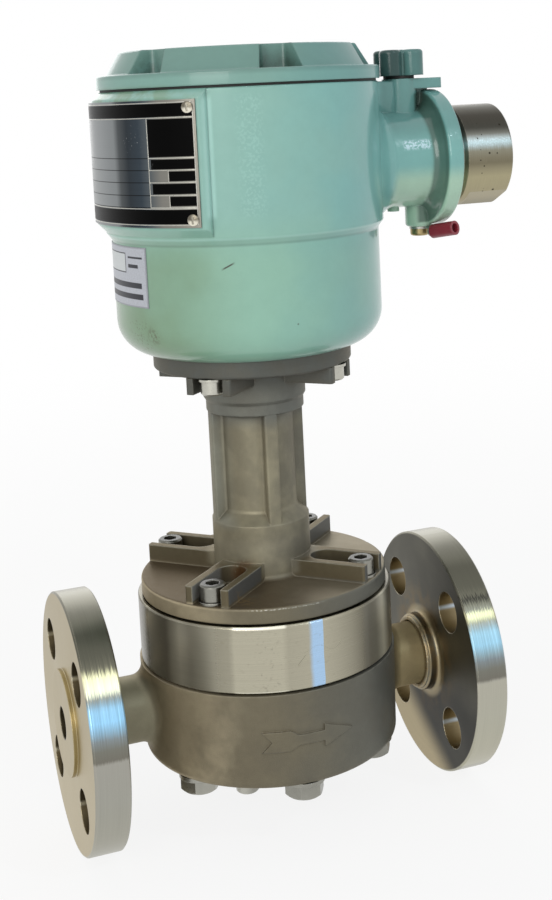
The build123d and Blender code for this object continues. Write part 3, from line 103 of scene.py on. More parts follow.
class Graph:
    def __init__(self, tree):
        self.tree = tree

    # any node: its type, settings first, then values or links by socket name or number
    def node(self, kind, settings=None, inputs=None, out=0):
        made = self.tree.nodes.new(kind)
        for key, value in (settings or {}).items():
            setattr(made, key, value)
        for socket, value in (inputs or {}).items():
            self.put(made.inputs[socket], value)
        return Value(self, made.outputs[out])

    def put(self, socket, value):
        if isinstance(value, Value):
            self.tree.links.new(value.socket, socket)
        elif isinstance(value, tuple) and len(value) == 3 and len(socket.default_value) == 4:
            socket.default_value = (*value, 1)
        else:
            socket.default_value = value

    def sum(self, operation, a, b=0):
        return self.node("ShaderNodeMath", {"operation": operation}, {0: a, 1: b})

    def both(self, *masks):
        total = masks[0]
        for mask in masks[1:]:
            total = self.sum("MAXIMUM", total, mask)
        return total

    def parts(self, vector):
        split = self.node("ShaderNodeSeparateXYZ", None, {0: vector})
        return [Value(self, s) for s in split.socket.node.outputs]

    def joined(self, x, y, z):
        return self.node("ShaderNodeCombineXYZ", None, {0: x, 1: y, 2: z})


# A material; colours, places and pairs of limits may be given by their names in the piece's dictionary
class Finish(Graph):
    def __init__(self, name, look, fixed):
        self.look = look
        self.material = bpy.data.materials.new(name)
        self.material.use_nodes = True
        super().__init__(self.material.node_tree)
        self.shader = self.tree.nodes["Principled BSDF"]
        for socket, value in fixed.items():
            self.put(self.shader.inputs[socket], value)
        # millimetres from the meter's centre line and the flow line
        raw = self.node("ShaderNodeTexCoord", out="Object")
        self.spot = self.node("ShaderNodeVectorMath", {"operation": "MULTIPLY_ADD"},
                              {0: raw, 1: (1000, 1000, 1000), 2: (-1000 * centreX, 0, 0)})

    def named(self, value):
        return self.look[value] if isinstance(value, str) else value

    def parts(self, vector=None):
        return super().parts(vector or self.spot)

    # which way the surface faces, as three parts
    def facing(self):
        return self.parts(self.node("ShaderNodeNewGeometry", out="Normal"))

    def vector(self, operation, a, b, out=0):
        return self.node("ShaderNodeVectorMath", {"operation": operation}, {0: a, 1: b}, out)

    def noise(self, size, detail=3, where=None, rough=0.5, shift=0):
        at = where or self.spot
        if shift:
            at = self.vector("ADD", at, (shift, shift, shift))
        return self.node("ShaderNodeTexNoise", None,
                         {"Vector": at, "Scale": 1 / size, "Detail": detail, "Roughness": rough})

    # noise cut to a mask between two levels
    def flecks(self, size, detail, low, high, **more):
        return self.step(self.noise(size, detail, **more), low, high)

    def cells(self, size):
        inputs = {"Vector": self.spot, "Scale": 1 / size}
        return self.node("ShaderNodeTexVoronoi", None, inputs, "Distance")

    # 0 below low, 1 above high, or the other way round when low is the larger; both may be one name
    def step(self, value, low, high=None):
        low, high = self.named(low) if high is None else (low, high)
        flip = low > high
        inputs = {0: value, 1: min(low, high), 2: max(low, high), 3: float(flip), 4: float(not flip)}
        return self.node("ShaderNodeMapRange", {"interpolation_type": "SMOOTHSTEP", "clamp": True}, inputs)

    # 1 between low and high; both may be one name, and then the edge comes next
    def band(self, value, low, high, edge=None):
        if edge is None:
            (low, high), edge = self.named(low), high
        return self.step(value, low - edge, low + edge) * self.step(value, high + edge, high - edge)

    # between two angles and two heights
    def field(self, angle, z, ends, edge, edgeZ):
        a0, a1, z0, z1 = self.named(ends)
        return self.band(angle, a0, a1, edge) * self.band(z, z0, z1, edgeZ)

    def blot(self, centre, radius, edge, where=None):
        away = self.vector("DISTANCE", where or self.spot, self.named(centre), "Value")
        return self.step(away, radius + edge, max(radius - edge, 0))

    def mix(self, mask, a, b, blend="MIX"):
        inputs = {0: mask, 6: self.named(a), 7: self.named(b)}
        return self.node("ShaderNodeMix", {"data_type": "RGBA", "blend_type": blend}, inputs, 2)

    # tints laid over a colour one after another, each with its mask
    def over(self, colour, *coats):
        for mask, tint in coats:
            colour = self.mix(mask, colour, tint)
        return colour

    def shade(self, colour, amount):
        inputs = {0: self.named(colour), "Scale": amount}
        return self.node("ShaderNodeVectorMath", {"operation": "SCALE"}, inputs)

    # the colour at a place along a table of places and colours
    def ramp(self, table, place):
        table = self.named(table)
        first, last = table[0][0], table[-1][0]
        made = self.node("ShaderNodeValToRGB", None, {0: (place - first) / (last - first)})
        stops = made.socket.node.color_ramp.elements
        while len(stops) < len(table):
            stops.new(0.5)
        for stop, (where, tint) in zip(stops, table):
            stop.position = (where - first) / (last - first)
            stop.color = (*tint, 1)
        return made

    def turning(self, across, up):
        return self.sum("ARCTAN2", up, across) * (180 / math.pi)

    def radius(self, a, b):
        return self.sum("SQRT", a * a + b * b)

    def softEdge(self, width):
        return self.node("ShaderNodeBevel", {"samples": 6}, {"Radius": width / 1000})

    # how near a sharp edge is, from the rounded normal against the true one
    def edges(self, width):
        flat = self.node("ShaderNodeNewGeometry", out="Normal")
        same = self.vector("DOT_PRODUCT", self.softEdge(width), flat, "Value")
        return self.step(1 - same, 0.02, 0.2)

    def crevice(self, reach):
        settings = {"samples": 6, "only_local": True}
        return 1 - self.node("ShaderNodeAmbientOcclusion", settings, {"Distance": reach / 1000}, "AO")

    def bump(self, height, strength, depth, normal=None):
        inputs = {"Height": height, "Strength": strength, "Distance": depth / 1000}
        if normal:
            inputs["Normal"] = normal
        return self.node("ShaderNodeBump", None, inputs)

    def wear(self, colour, roughness, normal, metallic=None):
        linked = {"Base Color": colour, "Roughness": roughness, "Normal": normal, "Metallic": metallic}
        for socket, value in linked.items():
            if value is not None:
                self.put(self.shader.inputs[socket], value)
        return self.material


# Bead-blasted stainless casting of the body and the ribbed neck
casting = {
    "left": (0.166, 0.147, 0.102), "far": (0.385, 0.328, 0.22), "right": (0.129, 0.134, 0.12),
    "column": (0.32, 0.29, 0.198), "columnRight": (0.135, 0.137, 0.118),
    "hub": (0.375, 0.345, 0.245), "hubRight": (0.17, 0.17, 0.148),
    "leftRib": (0.228, 0.238, 0.205), "upper": (0.155, 0.165, 0.152), "upperRight": (0.108, 0.126, 0.132),
    "collar": (0.096, 0.102, 0.095), "lug": (0.118, 0.1, 0.062),
    "wallLeft": (0.3, 0.3, 0.285), "wallRight": (0.118, 0.122, 0.118),
    "top": (0.098, 0.076, 0.048), "topRight": (0.265, 0.24, 0.184),
    "neckLeft": (0.25, 0.235, 0.163), "neckRight": (0.335, 0.272, 0.148),
    "brown": (0.112, 0.088, 0.054), "pale": (0.27, 0.26, 0.215), "rubbed": (0.34, 0.33, 0.275),
    "rust": (0.1, 0.048, 0.017), "amber": (0.25, 0.165, 0.062), "nick": (0.72, 0.71, 0.64),
    "tint": (0.86, 0.78, 0.66),
    # where its parts begin and end, out from the centre line or up from the flow line
    "neckOut": (45, 51), "neckTop": (14, 12), "lugOut": (18, 21), "lugFoot": (47.2, 48.2),
    "hubOut": (23, 19), "hubFoot": (47.4, 49.4), "hubTop": (65, 59), "ribFoot": (64, 70),
    "upperFoot": (102, 110), "collarFoot": (116, 124), "discFoot": (43, 45),
    "discTop": (49, 47.6), "pocketOut": (20, 22), "pocket": (48, 60),
    "frontPocket": (-165, -136),
    # rust at the inner end of the front pocket, amber below it, and brown round the foot of the screw
    "rustSpot": (-13.2, -15.8, 50.4), "amberSpot": (-12.5, -17.5, 48.6), "screwSpot": (-19, -35, 47.6),
    # nicks along the upper edge of the round foot: how far out, how high, and between which angles
    "nicks": ((46.9, 47.7), (46.1, 47.2), (-113, -84)),
    "grain": 0.34, "mottle": 2.6, "patch": 17, "corner": 7,
}


def castingFinish():
    fixed = {"Metallic": 0.55, "Specular IOR Level": 0.25, "Specular Tint": casting["tint"]}
    f = Finish("blastedCasting", casting, fixed)
    x, y, z = f.parts()
    away = f.radius(x, y)
    turn = f.turning(x, y)
    rightward, _, upward = f.facing()
    fine = f.noise(casting["grain"], 2)
    mottle = f.noise(casting["mottle"], 4, rough=0.65)
    patch = f.flecks(casting["patch"], 3, 0.36, 0.66, rough=0.6)
    # corners and hollows found by occlusion take the brown below: painted shade; the brown patches are the
    # casting's own tone
    corner = f.step(f.crevice(casting["corner"]), 0.14, 0.62)
    # left and right copies of each colour: the casting's own tan and grey with painted light and shade,
    # darker on the right and lighter on the far left
    side = f.step(x + patch * 14 - 7, -26, 32)
    # the ribbed column: its wide foot, painted shade over its left side, the grey rib on the left and the
    # grey upper part
    column = f.mix(side, "column", "columnRight")
    hub = f.mix(side, "hub", "hubRight")
    column = f.mix(f.step(z, "hubTop"), column, hub)
    column = f.shade(column, 1 - f.step(x, -4, -14) * 0.26)
    rib = f.step(x, -11, -17) * f.step(z, "ribFoot")
    upper = f.mix(side, "upper", "upperRight")
    column = f.over(column, (rib * 0.7, "leftRib"), (f.step(z, "upperFoot") * 0.8, upper))
    # the body with its two necks, the lugs, the column, the dark collar and the flat top of the foot
    left = f.mix(f.step(x + patch * 6 - 3, -24, -45), "left", "far")
    neck = f.mix(f.step(x, -1, 1), "neckLeft", "neckRight")
    # the upward faces of the foot's flat top: darker on the left and lighter on the right, painted light and
    # shade over their brown
    disc = f.step(upward, 0.6, 0.9) * f.step(z, "discFoot") * f.step(z, "discTop")
    colour = f.over(
        f.mix(side, left, "right"), (f.step(abs(x), "neckOut") * f.step(z, "neckTop"), neck),
        (f.step(z, "lugFoot") * f.step(away, "lugOut"), "lug"),
        (f.step(z, "hubFoot") * f.step(away, "hubOut"), column), (f.step(z, "collarFoot"), "collar"),
        (disc, f.mix(side, "top", "topRight")), (f.both(corner * 0.6, patch * 0.22), "brown"))
    # the walls round the screw pockets: grey where they face right and lighter inside the front pocket,
    # painted light and shade; lighter along all edges and more so round the pockets, partly wear and partly
    # painted highlight
    pocket = f.band(z, "pocket", 0.5) * f.step(away, "pocketOut")
    wall = f.mix(f.band(turn, "frontPocket", 1), "wallRight", "wallLeft")
    colour = f.over(
        colour, (pocket * f.step(rightward, 0.25, 0.7), wall),
        (f.edges(0.7) * f.step(mottle, 0.32, 0.58) * 0.42, "pale"),
        (f.edges(1.1) * pocket * (0.35 + mottle * 0.5), "rubbed"))
    colour = f.shade(colour, 0.78 + mottle * 0.22 + fine * 0.24)
    rust = f.blot("rustSpot", 4.2, 2.4) * f.flecks(1.5, 4, 0.28, 0.44)
    amber = f.blot("amberSpot", 3.6, 3.4) * f.flecks(2.2, 3, 0.4, 0.6, shift=9)
    seep = f.blot("screwSpot", 3, 2.6) * f.flecks(1.4, 3, 0.42, 0.58, shift=3)
    # a broken thin line of nicks along the front of the round foot's upper edge
    (r0, r1), (z0, z1), (a0, a1) = casting["nicks"]
    rim = f.band(away, r0, r1, 0.12) * f.band(z, z0, z1, 0.12) * f.band(turn, a0, a1, 4)
    nicks = rim * f.flecks(0.55, 3, 0.5, 0.58, shift=4)
    colour = f.over(
        colour, (f.both(amber, seep) * 0.6, "amber"), (rust * 0.92, "rust"), (nicks * 0.8, "nick"))
    rough = 0.38 + mottle * 0.18 + corner * 0.1 - nicks * 0.25
    return f.wear(colour, rough, f.bump(fine * 0.65 + mottle * 0.35, 0.5, 0.16, f.softEdge(0.7)))


# Turned and polished side of the chamber cover
polished = {
    "steel": (0.47, 0.445, 0.345), "dark": (0.052, 0.044, 0.03), "stain": (0.22, 0.19, 0.13),
    "scratch": (0.16, 0.145, 0.11), "edge": (0.8, 0.76, 0.6), "lip": (0.98, 0.95, 0.8),
    # angle round the ring, and how bright its painted reflection is there
    "reflectionBands": [(-360, 0.3), (-300, 0.62), (-270, 0.22), (-240, 0.5), (-215, 0.14), (-193, 0.32),
              (-180, 0.24), (-174, 0.55), (-170, 0.42), (-165, 0.28), (-161, 0.16), (-157, 0.12),
              (-154, 0.3), (-148.5, 0.47), (-143, 0.29), (-137.5, 0.42), (-134, 0.5), (-131, 0.6),
              (-124, 0.68), (-122.4, 0.94), (-108, 0.96), (-101.5, 0.98), (-99.5, 0.82), (-84, 0.9),
              (-76, 0.74), (-69, 0.56), (-63.7, 0.38), (-60, 0.28), (-57, 0.22), (-51, 0.34),
              (-44, 0.98), (-36, 0.2)],
    # here the ring mirrors the dark sides of the flanges, and its own grey shows instead
    "grey": [(-172, -130.5), (-60.5, -18)],
    # a blue strip of window light: its middle and half its width, as angles
    "strip": (-86.6, 3), "stripColour": (0.4, 0.58, 0.8),
    "side": (48, 48.3), "lipOut": (47.6, 47.9), "lipUpper": (39.5, 39.9), "lipLower": (16.9, 16.5),
    "lipTurn": (-122.4, -100), "spots": (-113, -102),
    # a long wavy scratch and a short slanting one: start height and the angles between which each runs
    "wavy": (31, -93, -74), "short": (26, -95.4, -92),
}


def polishedFinish():
    f = Finish("polishedRing", polished, {})
    x, y, z = f.parts()
    # counted from behind the left flange, so that the seam of the turn is out of sight
    turn = f.turning(x, y)
    turn = turn - f.step(turn, -0.01, 0.01) * 360
    away = f.radius(x, y)
    side = f.step(away, "side")
    lines = f.noise(1, 3, f.joined(turn * 0.012, away, z * 7))
    wander = f.noise(1, 2, f.joined(turn * 0.05, 0, z * 0.16))
    grey = [(where, (level, level, level)) for where, level in polished["reflectionBands"]]
    level = f.node("ShaderNodeRGBToBW", None, {0: f.ramp(grey, turn + wander * 1.6 - 0.8)})
    middle, half = polished["strip"]
    drift = turn + wander * 0.8 - 0.4
    strip = f.step(drift, middle - half - 1, middle - half + 1.6)
    strip = strip * f.step(drift, middle + half + 0.3, middle + half)
    stain = f.flecks(3, 4, 0.6, 0.72, where=f.joined(x * 1.6, y * 1.6, z * 3))
    # faint wear spots in the brightest band, and the two scratches low on the front
    spots = f.flecks(1.3, 3, 0.62, 0.7, shift=6) * f.band(turn, "spots", 3)
    wave = f.sum("SINE", turn * 0.42) * 1.4 + f.sum("SINE", turn * 0.17)
    height, start, end = polished["wavy"]
    scratch = f.band(z - height - wave, -0.1, 0.1, 0.1) * f.band(turn, start, end, 1) * 0.4
    height, start, end = polished["short"]
    slant = z - height - (turn + 95) * 0.9
    marks = f.both(scratch, f.band(slant, -0.16, 0.16, 0.1) * f.band(turn, start, end, 0.5))
    colour = f.over(
        f.mix(level, "dark", "steel"), (strip * side, "stripColour"), (stain * 0.2, "stain"),
        (f.both(marks * 0.55, spots * 0.25) * side, "scratch"))
    colour = f.shade(colour, 0.88 + lines * 0.24)
    # all edges are lighter, partly wear and partly painted highlight, and both turned edges catch the light
    # over the brightest band
    lip = f.both(f.step(z, "lipUpper"), f.step(z, "lipLower"))
    lip = lip * f.band(turn, "lipTurn", 1) * f.step(away, "lipOut")
    colour = f.over(colour, (f.edges(0.45) * 0.6, "edge"), (lip, "lip"))
    dull = f.both(*[f.band(turn, low, high, 2) for low, high in polished["grey"]])
    rough = 0.18 + lines * 0.14 + marks * 0.3 + dull * 0.08
    return f.wear(colour, rough, f.bump(lines, 0.1, 0.03, f.softEdge(0.45)), 1 - dull * side * 0.62)


# Turned flanges: lathe marks round the bore, with painted reflections, light and dark, round the turned rim
flange = {
    "face": (0.395, 0.32, 0.16), "back": (0.098, 0.094, 0.074), "cloud": (0.14, 0.134, 0.104),
    "warm": (0.2, 0.14, 0.065), "cream": (0.5, 0.42, 0.26), "scuff": (0.64, 0.6, 0.47),
    "bore": (0.09, 0.075, 0.05),
    # angle up from the front edge of the rim, and the colour of its painted reflection there
    "rim": [(-180, (0.21, 0.2, 0.16)), (-120, (0.31, 0.3, 0.235)), (-80, (0.41, 0.4, 0.31)),
            (-40, (0.38, 0.37, 0.31)), (-12, (0.375, 0.37, 0.325)), (4.4, (0.37, 0.36, 0.32)),
            (5.2, (0.19, 0.18, 0.15)), (10, (0.2, 0.2, 0.17)), (14, (0.235, 0.27, 0.28)),
            (17.5, (0.28, 0.46, 0.6)), (21, (0.34, 0.65, 0.92)), (26, (0.33, 0.6, 0.82)),
            (29, (0.24, 0.32, 0.36)), (31, (0.28, 0.29, 0.25)), (33, (0.8, 0.8, 0.6)),
            (39.5, (0.97, 0.95, 0.6)), (42.5, (0.17, 0.165, 0.125)), (48, (0.118, 0.116, 0.09)),
            (60, (0.104, 0.102, 0.08)), (66, (0.15, 0.147, 0.116)), (76, (0.19, 0.185, 0.15)),
            (100, (0.26, 0.25, 0.2)), (150, (0.15, 0.145, 0.115)), (180, (0.21, 0.2, 0.16))],
    # between these angles the right rim shows the same light in other strengths
    "weaker": [(36, 43.5, (0.2, 0.2, 0.24)), (31, 36, (0.62, 0.6, 0.5)),
               (15, 30, (1.08, 1, 0.9)), (-50, 4.6, (1.2, 1.19, 1.12))],
    "rimOut": (46.6, 47.2), "boreOut": (6.3, 6.1), "weldOut": (19, 15.6), "weldEnd": (68, 67),
    "hubOut": (19.5, 17), "heatOut": (31, 16), "raised": (80.4, 80.8), "groovePitch": 0.9,
    # the bolt holes: how far their middles lie from the flow line each way, and the light inside them
    "hole": 23.58, "holeOut": (24.5, 42.2), "holeDark": (0.115, 0.1, 0.07), "holeWarm": (0.3, 0.245, 0.15),
    "glint": (0.95, 0.9, 0.7), "coolGlint": (0.66, 0.8, 0.98),
}


def flangeFinish():
    f = Finish("turnedFlange", flange, {"Metallic": 1})
    x, y, z = f.parts()
    away = f.radius(y, z)
    theta = f.turning(-y, z)
    lathe = f.noise(1, 2, f.joined(away * 4.5, theta * 0.006, 0))
    streak = f.noise(1, 3, f.joined(x * 2.4, theta * 0.02, 0))
    ragged = f.noise(1, 3, f.joined(x * 3.4, theta * 0.03, 3))
    onRim = f.step(away, "rimOut")
    onRight = f.step(x, -1, 1)
    torn = (ragged - 0.5) * (3 + f.step(theta, 26, 34) * f.step(theta, 70, 50) * 9)
    rim = f.ramp("rim", theta + torn)
    for low, high, tint in flange["weaker"]:
        rim = f.mix(f.band(theta + torn, low, high, 1) * onRight, rim, tint, "MULTIPLY")
    rim = f.shade(rim, 1 + (streak - 0.5) * f.band(theta, 13, 44, 3) * 0.8)
    # the side of each flange that faces the body is dark, a painted shade, and stained, with heat tint round
    # the neck; darker still below, painted shade, with cream painted reflections low on it and round the hub
    outward = f.facing()[0] * f.sum("SIGN", x)
    inner = f.step(outward, -0.3, -0.6)
    back = f.mix(f.flecks(24, 2, 0.36, 0.66), "back", "cloud")
    heat = f.step(away, "heatOut") * f.flecks(6, 3, 0.36, 0.6, shift=5)
    back = f.shade(f.mix(heat * 0.8, back, "warm"), 1 - f.step(z, 0, -16) * 0.66)
    back = f.over(
        back, (f.step(z - y * 0.55, -24, -42) * 0.85, "cream"),
        (f.step(away, "hubOut") * inner * 0.55, "cream"))
    # the outer face is lighter towards the bottom and darker towards the top, painted light and shade
    front = f.shade("face", 0.92 + f.step(z, 46, -46) * 0.14)
    nearWeld = f.step(away, "weldOut") * f.step(abs(x), "weldEnd")
    # inside a bolt hole, painted light: shade above, one bright glint across its middle, warmer light below
    rise = z - f.sum("SIGN", z) * flange["hole"]
    inHole = f.band(away, "holeOut", 0.1) * f.step(abs(outward), 0.5, 0.3)
    below = f.both(f.step(rise, 0, -1.5), onRight * 0.8)
    lining = f.mix(below, "holeDark", "holeWarm")
    spark = f.mix(onRight, "glint", "coolGlint")
    lining = f.mix(f.band(rise, -1.5, -0.1, 0.6) * f.step(abs(y), 60, 20), lining, spark)
    colour = f.over(
        front, (f.both(inner, nearWeld), back), (inHole * 0.85, lining), (onRim, rim),
        (f.step(away, "boreOut") * 0.8, "bore"))
    flat = 1 - onRim
    colour = f.shade(colour, 0.88 + lathe * 0.16 * flat + streak * 0.22 * onRim + flat * 0.04)
    colour = f.mix(f.edges(0.5) * 0.5, colour, "scuff")
    # fine spiral grooves of the raised face
    raised = f.step(abs(x), "raised") * f.step(away, 19.4, 19) * f.step(away, 6.6, 7.2)
    groove = f.sum("SINE", away * (2 * math.pi / flange["groovePitch"]))
    height = lathe * flat + streak * onRim + groove * raised * 0.6
    rough = 0.26 + streak * 0.12 + inner * 0.14
    return f.wear(colour, rough, f.bump(height, 0.16, 0.05, f.softEdge(0.5)))


# Light green enamel over cast aluminium
enamel = {
    "green": (0.246, 0.452, 0.396), "greenLow": (0.257, 0.468, 0.368), "teal": (0.198, 0.442, 0.418),
    "tealLow": (0.205, 0.418, 0.376), "stain": (0.168, 0.268, 0.155), "groove": (0.07, 0.135, 0.105),
    "warm": (0.44, 0.64, 0.49), "gleam": (0.66, 0.86, 0.96), "pale": (0.4, 0.66, 0.6),
    "dirt": (0.085, 0.083, 0.045), "grime": (0.04, 0.07, 0.055), "blueShade": (0.045, 0.15, 0.16),
    "chip": (0.045, 0.042, 0.032), "rubbed": (0.38, 0.6, 0.54),
    # where its parts begin and end, along x or up from the flow line
    "neckOut": (52.5, 57), "lowTop": (192, 168), "wall": (187, 228), "crownFoot": (234.6, 236.6),
    # the groove behind the side neck's rim: along x, and out from the neck's middle
    "grooveAlong": (69.2, 74.6), "grooveOut": (26.2, 25.2), "grooveIn": (18.9, 19.4),
    # the shimmer down the front of the head and the lit edge of the nameplate's pad, as angles
    "shimmer": (-109, -100), "padEdge": (-121.4, -118.6),
    # the step round the head: a lit edge above and a dark one below, painted highlight and painted shade
    "stepTop": (178.9, 179.7), "stepFoot": (176.6, 177.4),
    # a smear and small dirt round it, low on the left
    "smearSpot": (-44.2, -23.8, 144.7), "dirtSpot": (-47, -16, 143),
    "chips": [((1.1, -50.2, 148.2), 0.55), ((-4.1, -50, 140.9), 0.7), ((-13.8, -50.8, 240.5), 0.6),
              ((-17, -49.6, 239.2), 0.4), ((8, -52.4, 203), 0.4), ((3, -49.8, 137.8), 0.6)],
    # a short dark stroke low on the front: x and z of its middle, half its length and half its width
    "stroke": (-21.6, 169.9, 2.5, 0.28),
}


def enamelFinish(name, dim=1, hollow=0.6, reach=6, coat=0.55, lobed=False):
    f = Finish(name, enamel, {"Coat Weight": coat, "Coat Roughness": 0.06, "Specular IOR Level": 0.28})
    x, y, z = f.parts()
    broad = f.flecks(34, 2, 0.38, 0.62)
    peel = f.noise(1.1, 2)
    ripple = f.noise(5.5, 3, rough=0.6)
    onNeck = f.step(x, "neckOut")
    onHead = 1 - onNeck
    low = f.step(z, "lowTop")
    green = f.mix(low, "green", "greenLow")
    teal = f.mix(low, "teal", "tealLow")
    # the side neck is warmer and paler below and darker above, painted light and shade, and nearly
    # black-green in its groove, a painted shade
    drop = z - conduitZ
    away = f.radius(y, drop)
    under = onNeck * f.step(drop, -1, -9)
    groove = f.step(away, "grooveOut") * f.step(away, "grooveIn")
    groove = groove * f.band(x, "grooveAlong", 1)
    # handling stains low on the left and under the rim, and dirt in corners; corners and hollows are darkened
    # as well, a painted shade, bluer in the crown on the left
    leftSide = f.step(x, -12, -44) * f.step(z, 186, 168)
    seam = f.band(z, 226.5, 232, 1.5) * f.step(x, -22, -44)
    stain = f.both(leftSide * (0.6 + broad * 0.28), seam * f.step(ripple, 0.3, 0.6) * 0.7)
    slanted = f.joined(x, y, z + (x - enamel["smearSpot"][0]) * 0.25)
    smear = f.blot("smearSpot", 2.4, 2.2, slanted) * f.flecks(1.3, 4, 0.46, 0.58, shift=2) * 0.8
    mess = f.blot("dirtSpot", 6.5, 5) * f.flecks(1, 4, 0.56, 0.66, shift=7) * 0.6
    corner = f.step(f.crevice(reach), 0.3, 0.8)
    grit = corner * f.flecks(2.4, 4, 0.34, 0.6, shift=5) * onHead * 0.55
    crown = f.step(z, "crownFoot") * f.step(x, 54, 53)
    leftCrown = crown * f.step(x, 0, -25)
    shadow = f.mix(leftCrown, "grime", "blueShade")
    # the window gleams in a speckled line along the side neck, and faintly down the head's front
    line = f.band(f.turning(-y, drop), 13, 23, 2.5) * f.band(x, 58.5, 69.5, 0.9) * f.step(away, 21, 20)
    line = line * f.flecks(0.9, 3, 0.4, 0.58, shift=8)
    turn = f.turning(x, y)
    shimmer = f.band(turn, "shimmer", 2.4) * f.flecks(1, 3, 0.48, 0.6, shift=6)
    lit = f.both(shimmer * 0.22, f.band(turn, "padEdge", 0.8) * 0.65)
    # green on the left and a cooler, darker teal on the right: painted shade
    colour = f.over(
        f.mix(f.step(x + broad * 16 - 8, -16, 42), green, teal), (under * 0.9, "warm"), (stain, "stain"),
        (f.both(smear, mess, grit), "dirt"), (groove * 0.85, "groove"),
        (corner * hollow * (1 - leftCrown * 0.45), shadow), (line * 0.8, "gleam"),
        (lit * f.band(z, "wall", 1.5) * onHead, "pale"),
        (f.band(z, "stepTop", 0.4) * onHead * 0.4, "pale"))
    colour = f.shade(colour, 1 - f.band(z, "stepFoot", 0.4) * onHead * 0.22)
    middleX, middleZ, length, width = enamel["stroke"]
    rise = abs(z - middleZ - (x - middleX) * 0.55)
    slim = f.sum("MINIMUM", f.step(abs(x - middleX), length, length * 0.3),
                 f.step(rise, width * 1.6, width * 0.4))
    spots = [f.blot(spot, size * 0.6, size * 0.5) for spot, size in enamel["chips"]]
    chips = f.both(slim * f.step(y, -38, -42), *spots)
    # all edges lighter, partly worn paint and partly painted highlight
    wornLitMask = f.edges(0.9) * (0.55 + f.step(ripple, 0.48, 0.68) * 0.45)
    colour = f.over(colour, (chips, "chip"), (wornLitMask * 0.42, tuple(c * dim for c in enamel["rubbed"])))
    # the crown and the top of the side neck are darker, and the side neck a little, painted shade
    top = onNeck * f.step(drop, 4, 14)
    # the plug is brighter out along its lobes, painted light
    if lobed:
        dim = (0.56 + f.step(x, 61, 66.5) * 0.95) * dim
    colour = f.shade(colour, dim * (0.94 + ripple * 0.12 - onNeck * 0.06 - crown * 0.24 - top * 0.24))
    rough = 0.27 + ripple * 0.08 + chips * 0.3 - onNeck * 0.09
    height = peel * (0.3 + onNeck * 1.3) + ripple * 0.7
    return f.wear(colour, rough, f.bump(height, 0.2, 0.24, f.softEdge(0.9)))


# Small stainless fasteners, duller drive screws lit from below, and the plate's raised lines
fastener = {
    "steel": (0.3, 0.295, 0.26), "screw": (0.1, 0.09, 0.07), "screwLight": (0.8, 0.76, 0.64),
    "rule": (0.3, 0.295, 0.265), "dark": (0.04, 0.036, 0.028), "worn": (0.55, 0.54, 0.49),
}


def fastenerFinish(name, steel, lowLight=None):
    f = Finish(name, fastener, {"Metallic": 1})
    x, y, z = f.parts()
    upward = f.facing()[2]
    speck = f.noise(0.8, 4)
    # the tops are darker; the bolts underneath away from the front are darker too, painted shade, and the
    # head screws and the bolts underneath on the left lighter, painted light
    under = f.step(z, -12, -18)
    dull = f.step(upward, 0.5, 0.9) * 0.86 + under * f.step(y, -30, -24) * 0.35
    pale = f.step(z, 100, 110) * 0.7 + under * f.step(x, -18, -24) * 0.55
    colour = f.shade(f.shade(steel, 0.78 + f.noise(5, 2) * 0.4), 1 - dull + pale)
    # crevices and sockets darkened, a painted shade
    colour = f.over(colour, (f.step(f.crevice(1.6), 0.35, 0.85), "dark"), (f.edges(0.35) * 0.35, "worn"))
    if lowLight:
        colour = f.mix(f.step(upward, 0.1, -0.25), colour, lowLight)
    return f.wear(colour, 0.2 + speck * 0.22, f.bump(speck, 0.12, 0.03, f.softEdge(0.35)))


# Plated steel conduit adapter, pitted, with painted reflections round it, tan below
adapter = {
    "face": (0.27, 0.265, 0.205), "pit": (0.03, 0.026, 0.018), "glint": (0.6, 0.72, 0.76),
    "bore": (0.13, 0.115, 0.085), "worn": (0.52, 0.5, 0.4),
    # angle above the front line, and the colour of the painted reflection there
    "round": [(-180, (0.2, 0.185, 0.14)), (-90, (0.26, 0.235, 0.155)), (-62, (0.38, 0.335, 0.215)),
              (-24, (0.4, 0.36, 0.228)), (-15, (0.3, 0.27, 0.178)), (-8, (0.195, 0.175, 0.117)),
              (-2, (0.22, 0.2, 0.14)), (6, (0.26, 0.25, 0.19)), (11, (0.36, 0.42, 0.41)),
              (15, (0.42, 0.52, 0.53)), (19, (0.3, 0.33, 0.32)), (25, (0.14, 0.135, 0.115)),
              (33, (0.062, 0.06, 0.05)), (52, (0.06, 0.055, 0.044)), (68, (0.11, 0.105, 0.085)),
              (110, (0.2, 0.19, 0.155)), (180, (0.2, 0.185, 0.14))],
    "roundOut": 19.8, "faceOut": (18.4, 17.6), "boreOut": (12.9, 12.5), "threadPitch": 1.8,
    # angle above the front line, distance along the adapter and size of each pit
    "pits": [(35.9, 100.4, 0.75), (24.4, 91.5, 0.4), (20.2, 89.4, 0.5), (2.9, 93.8, 0.7), (2.3, 97.1, 0.5),
             (-4.6, 89.9, 0.45), (-11.4, 91.5, 0.5), (-19.7, 90.8, 0.4), (-43.4, 97.5, 0.8),
             (-53, 100.2, 0.8), (-45.2, 93.2, 0.5), (140, 92, 0.6), (200, 98, 0.7), (165, 101, 0.5)],
}


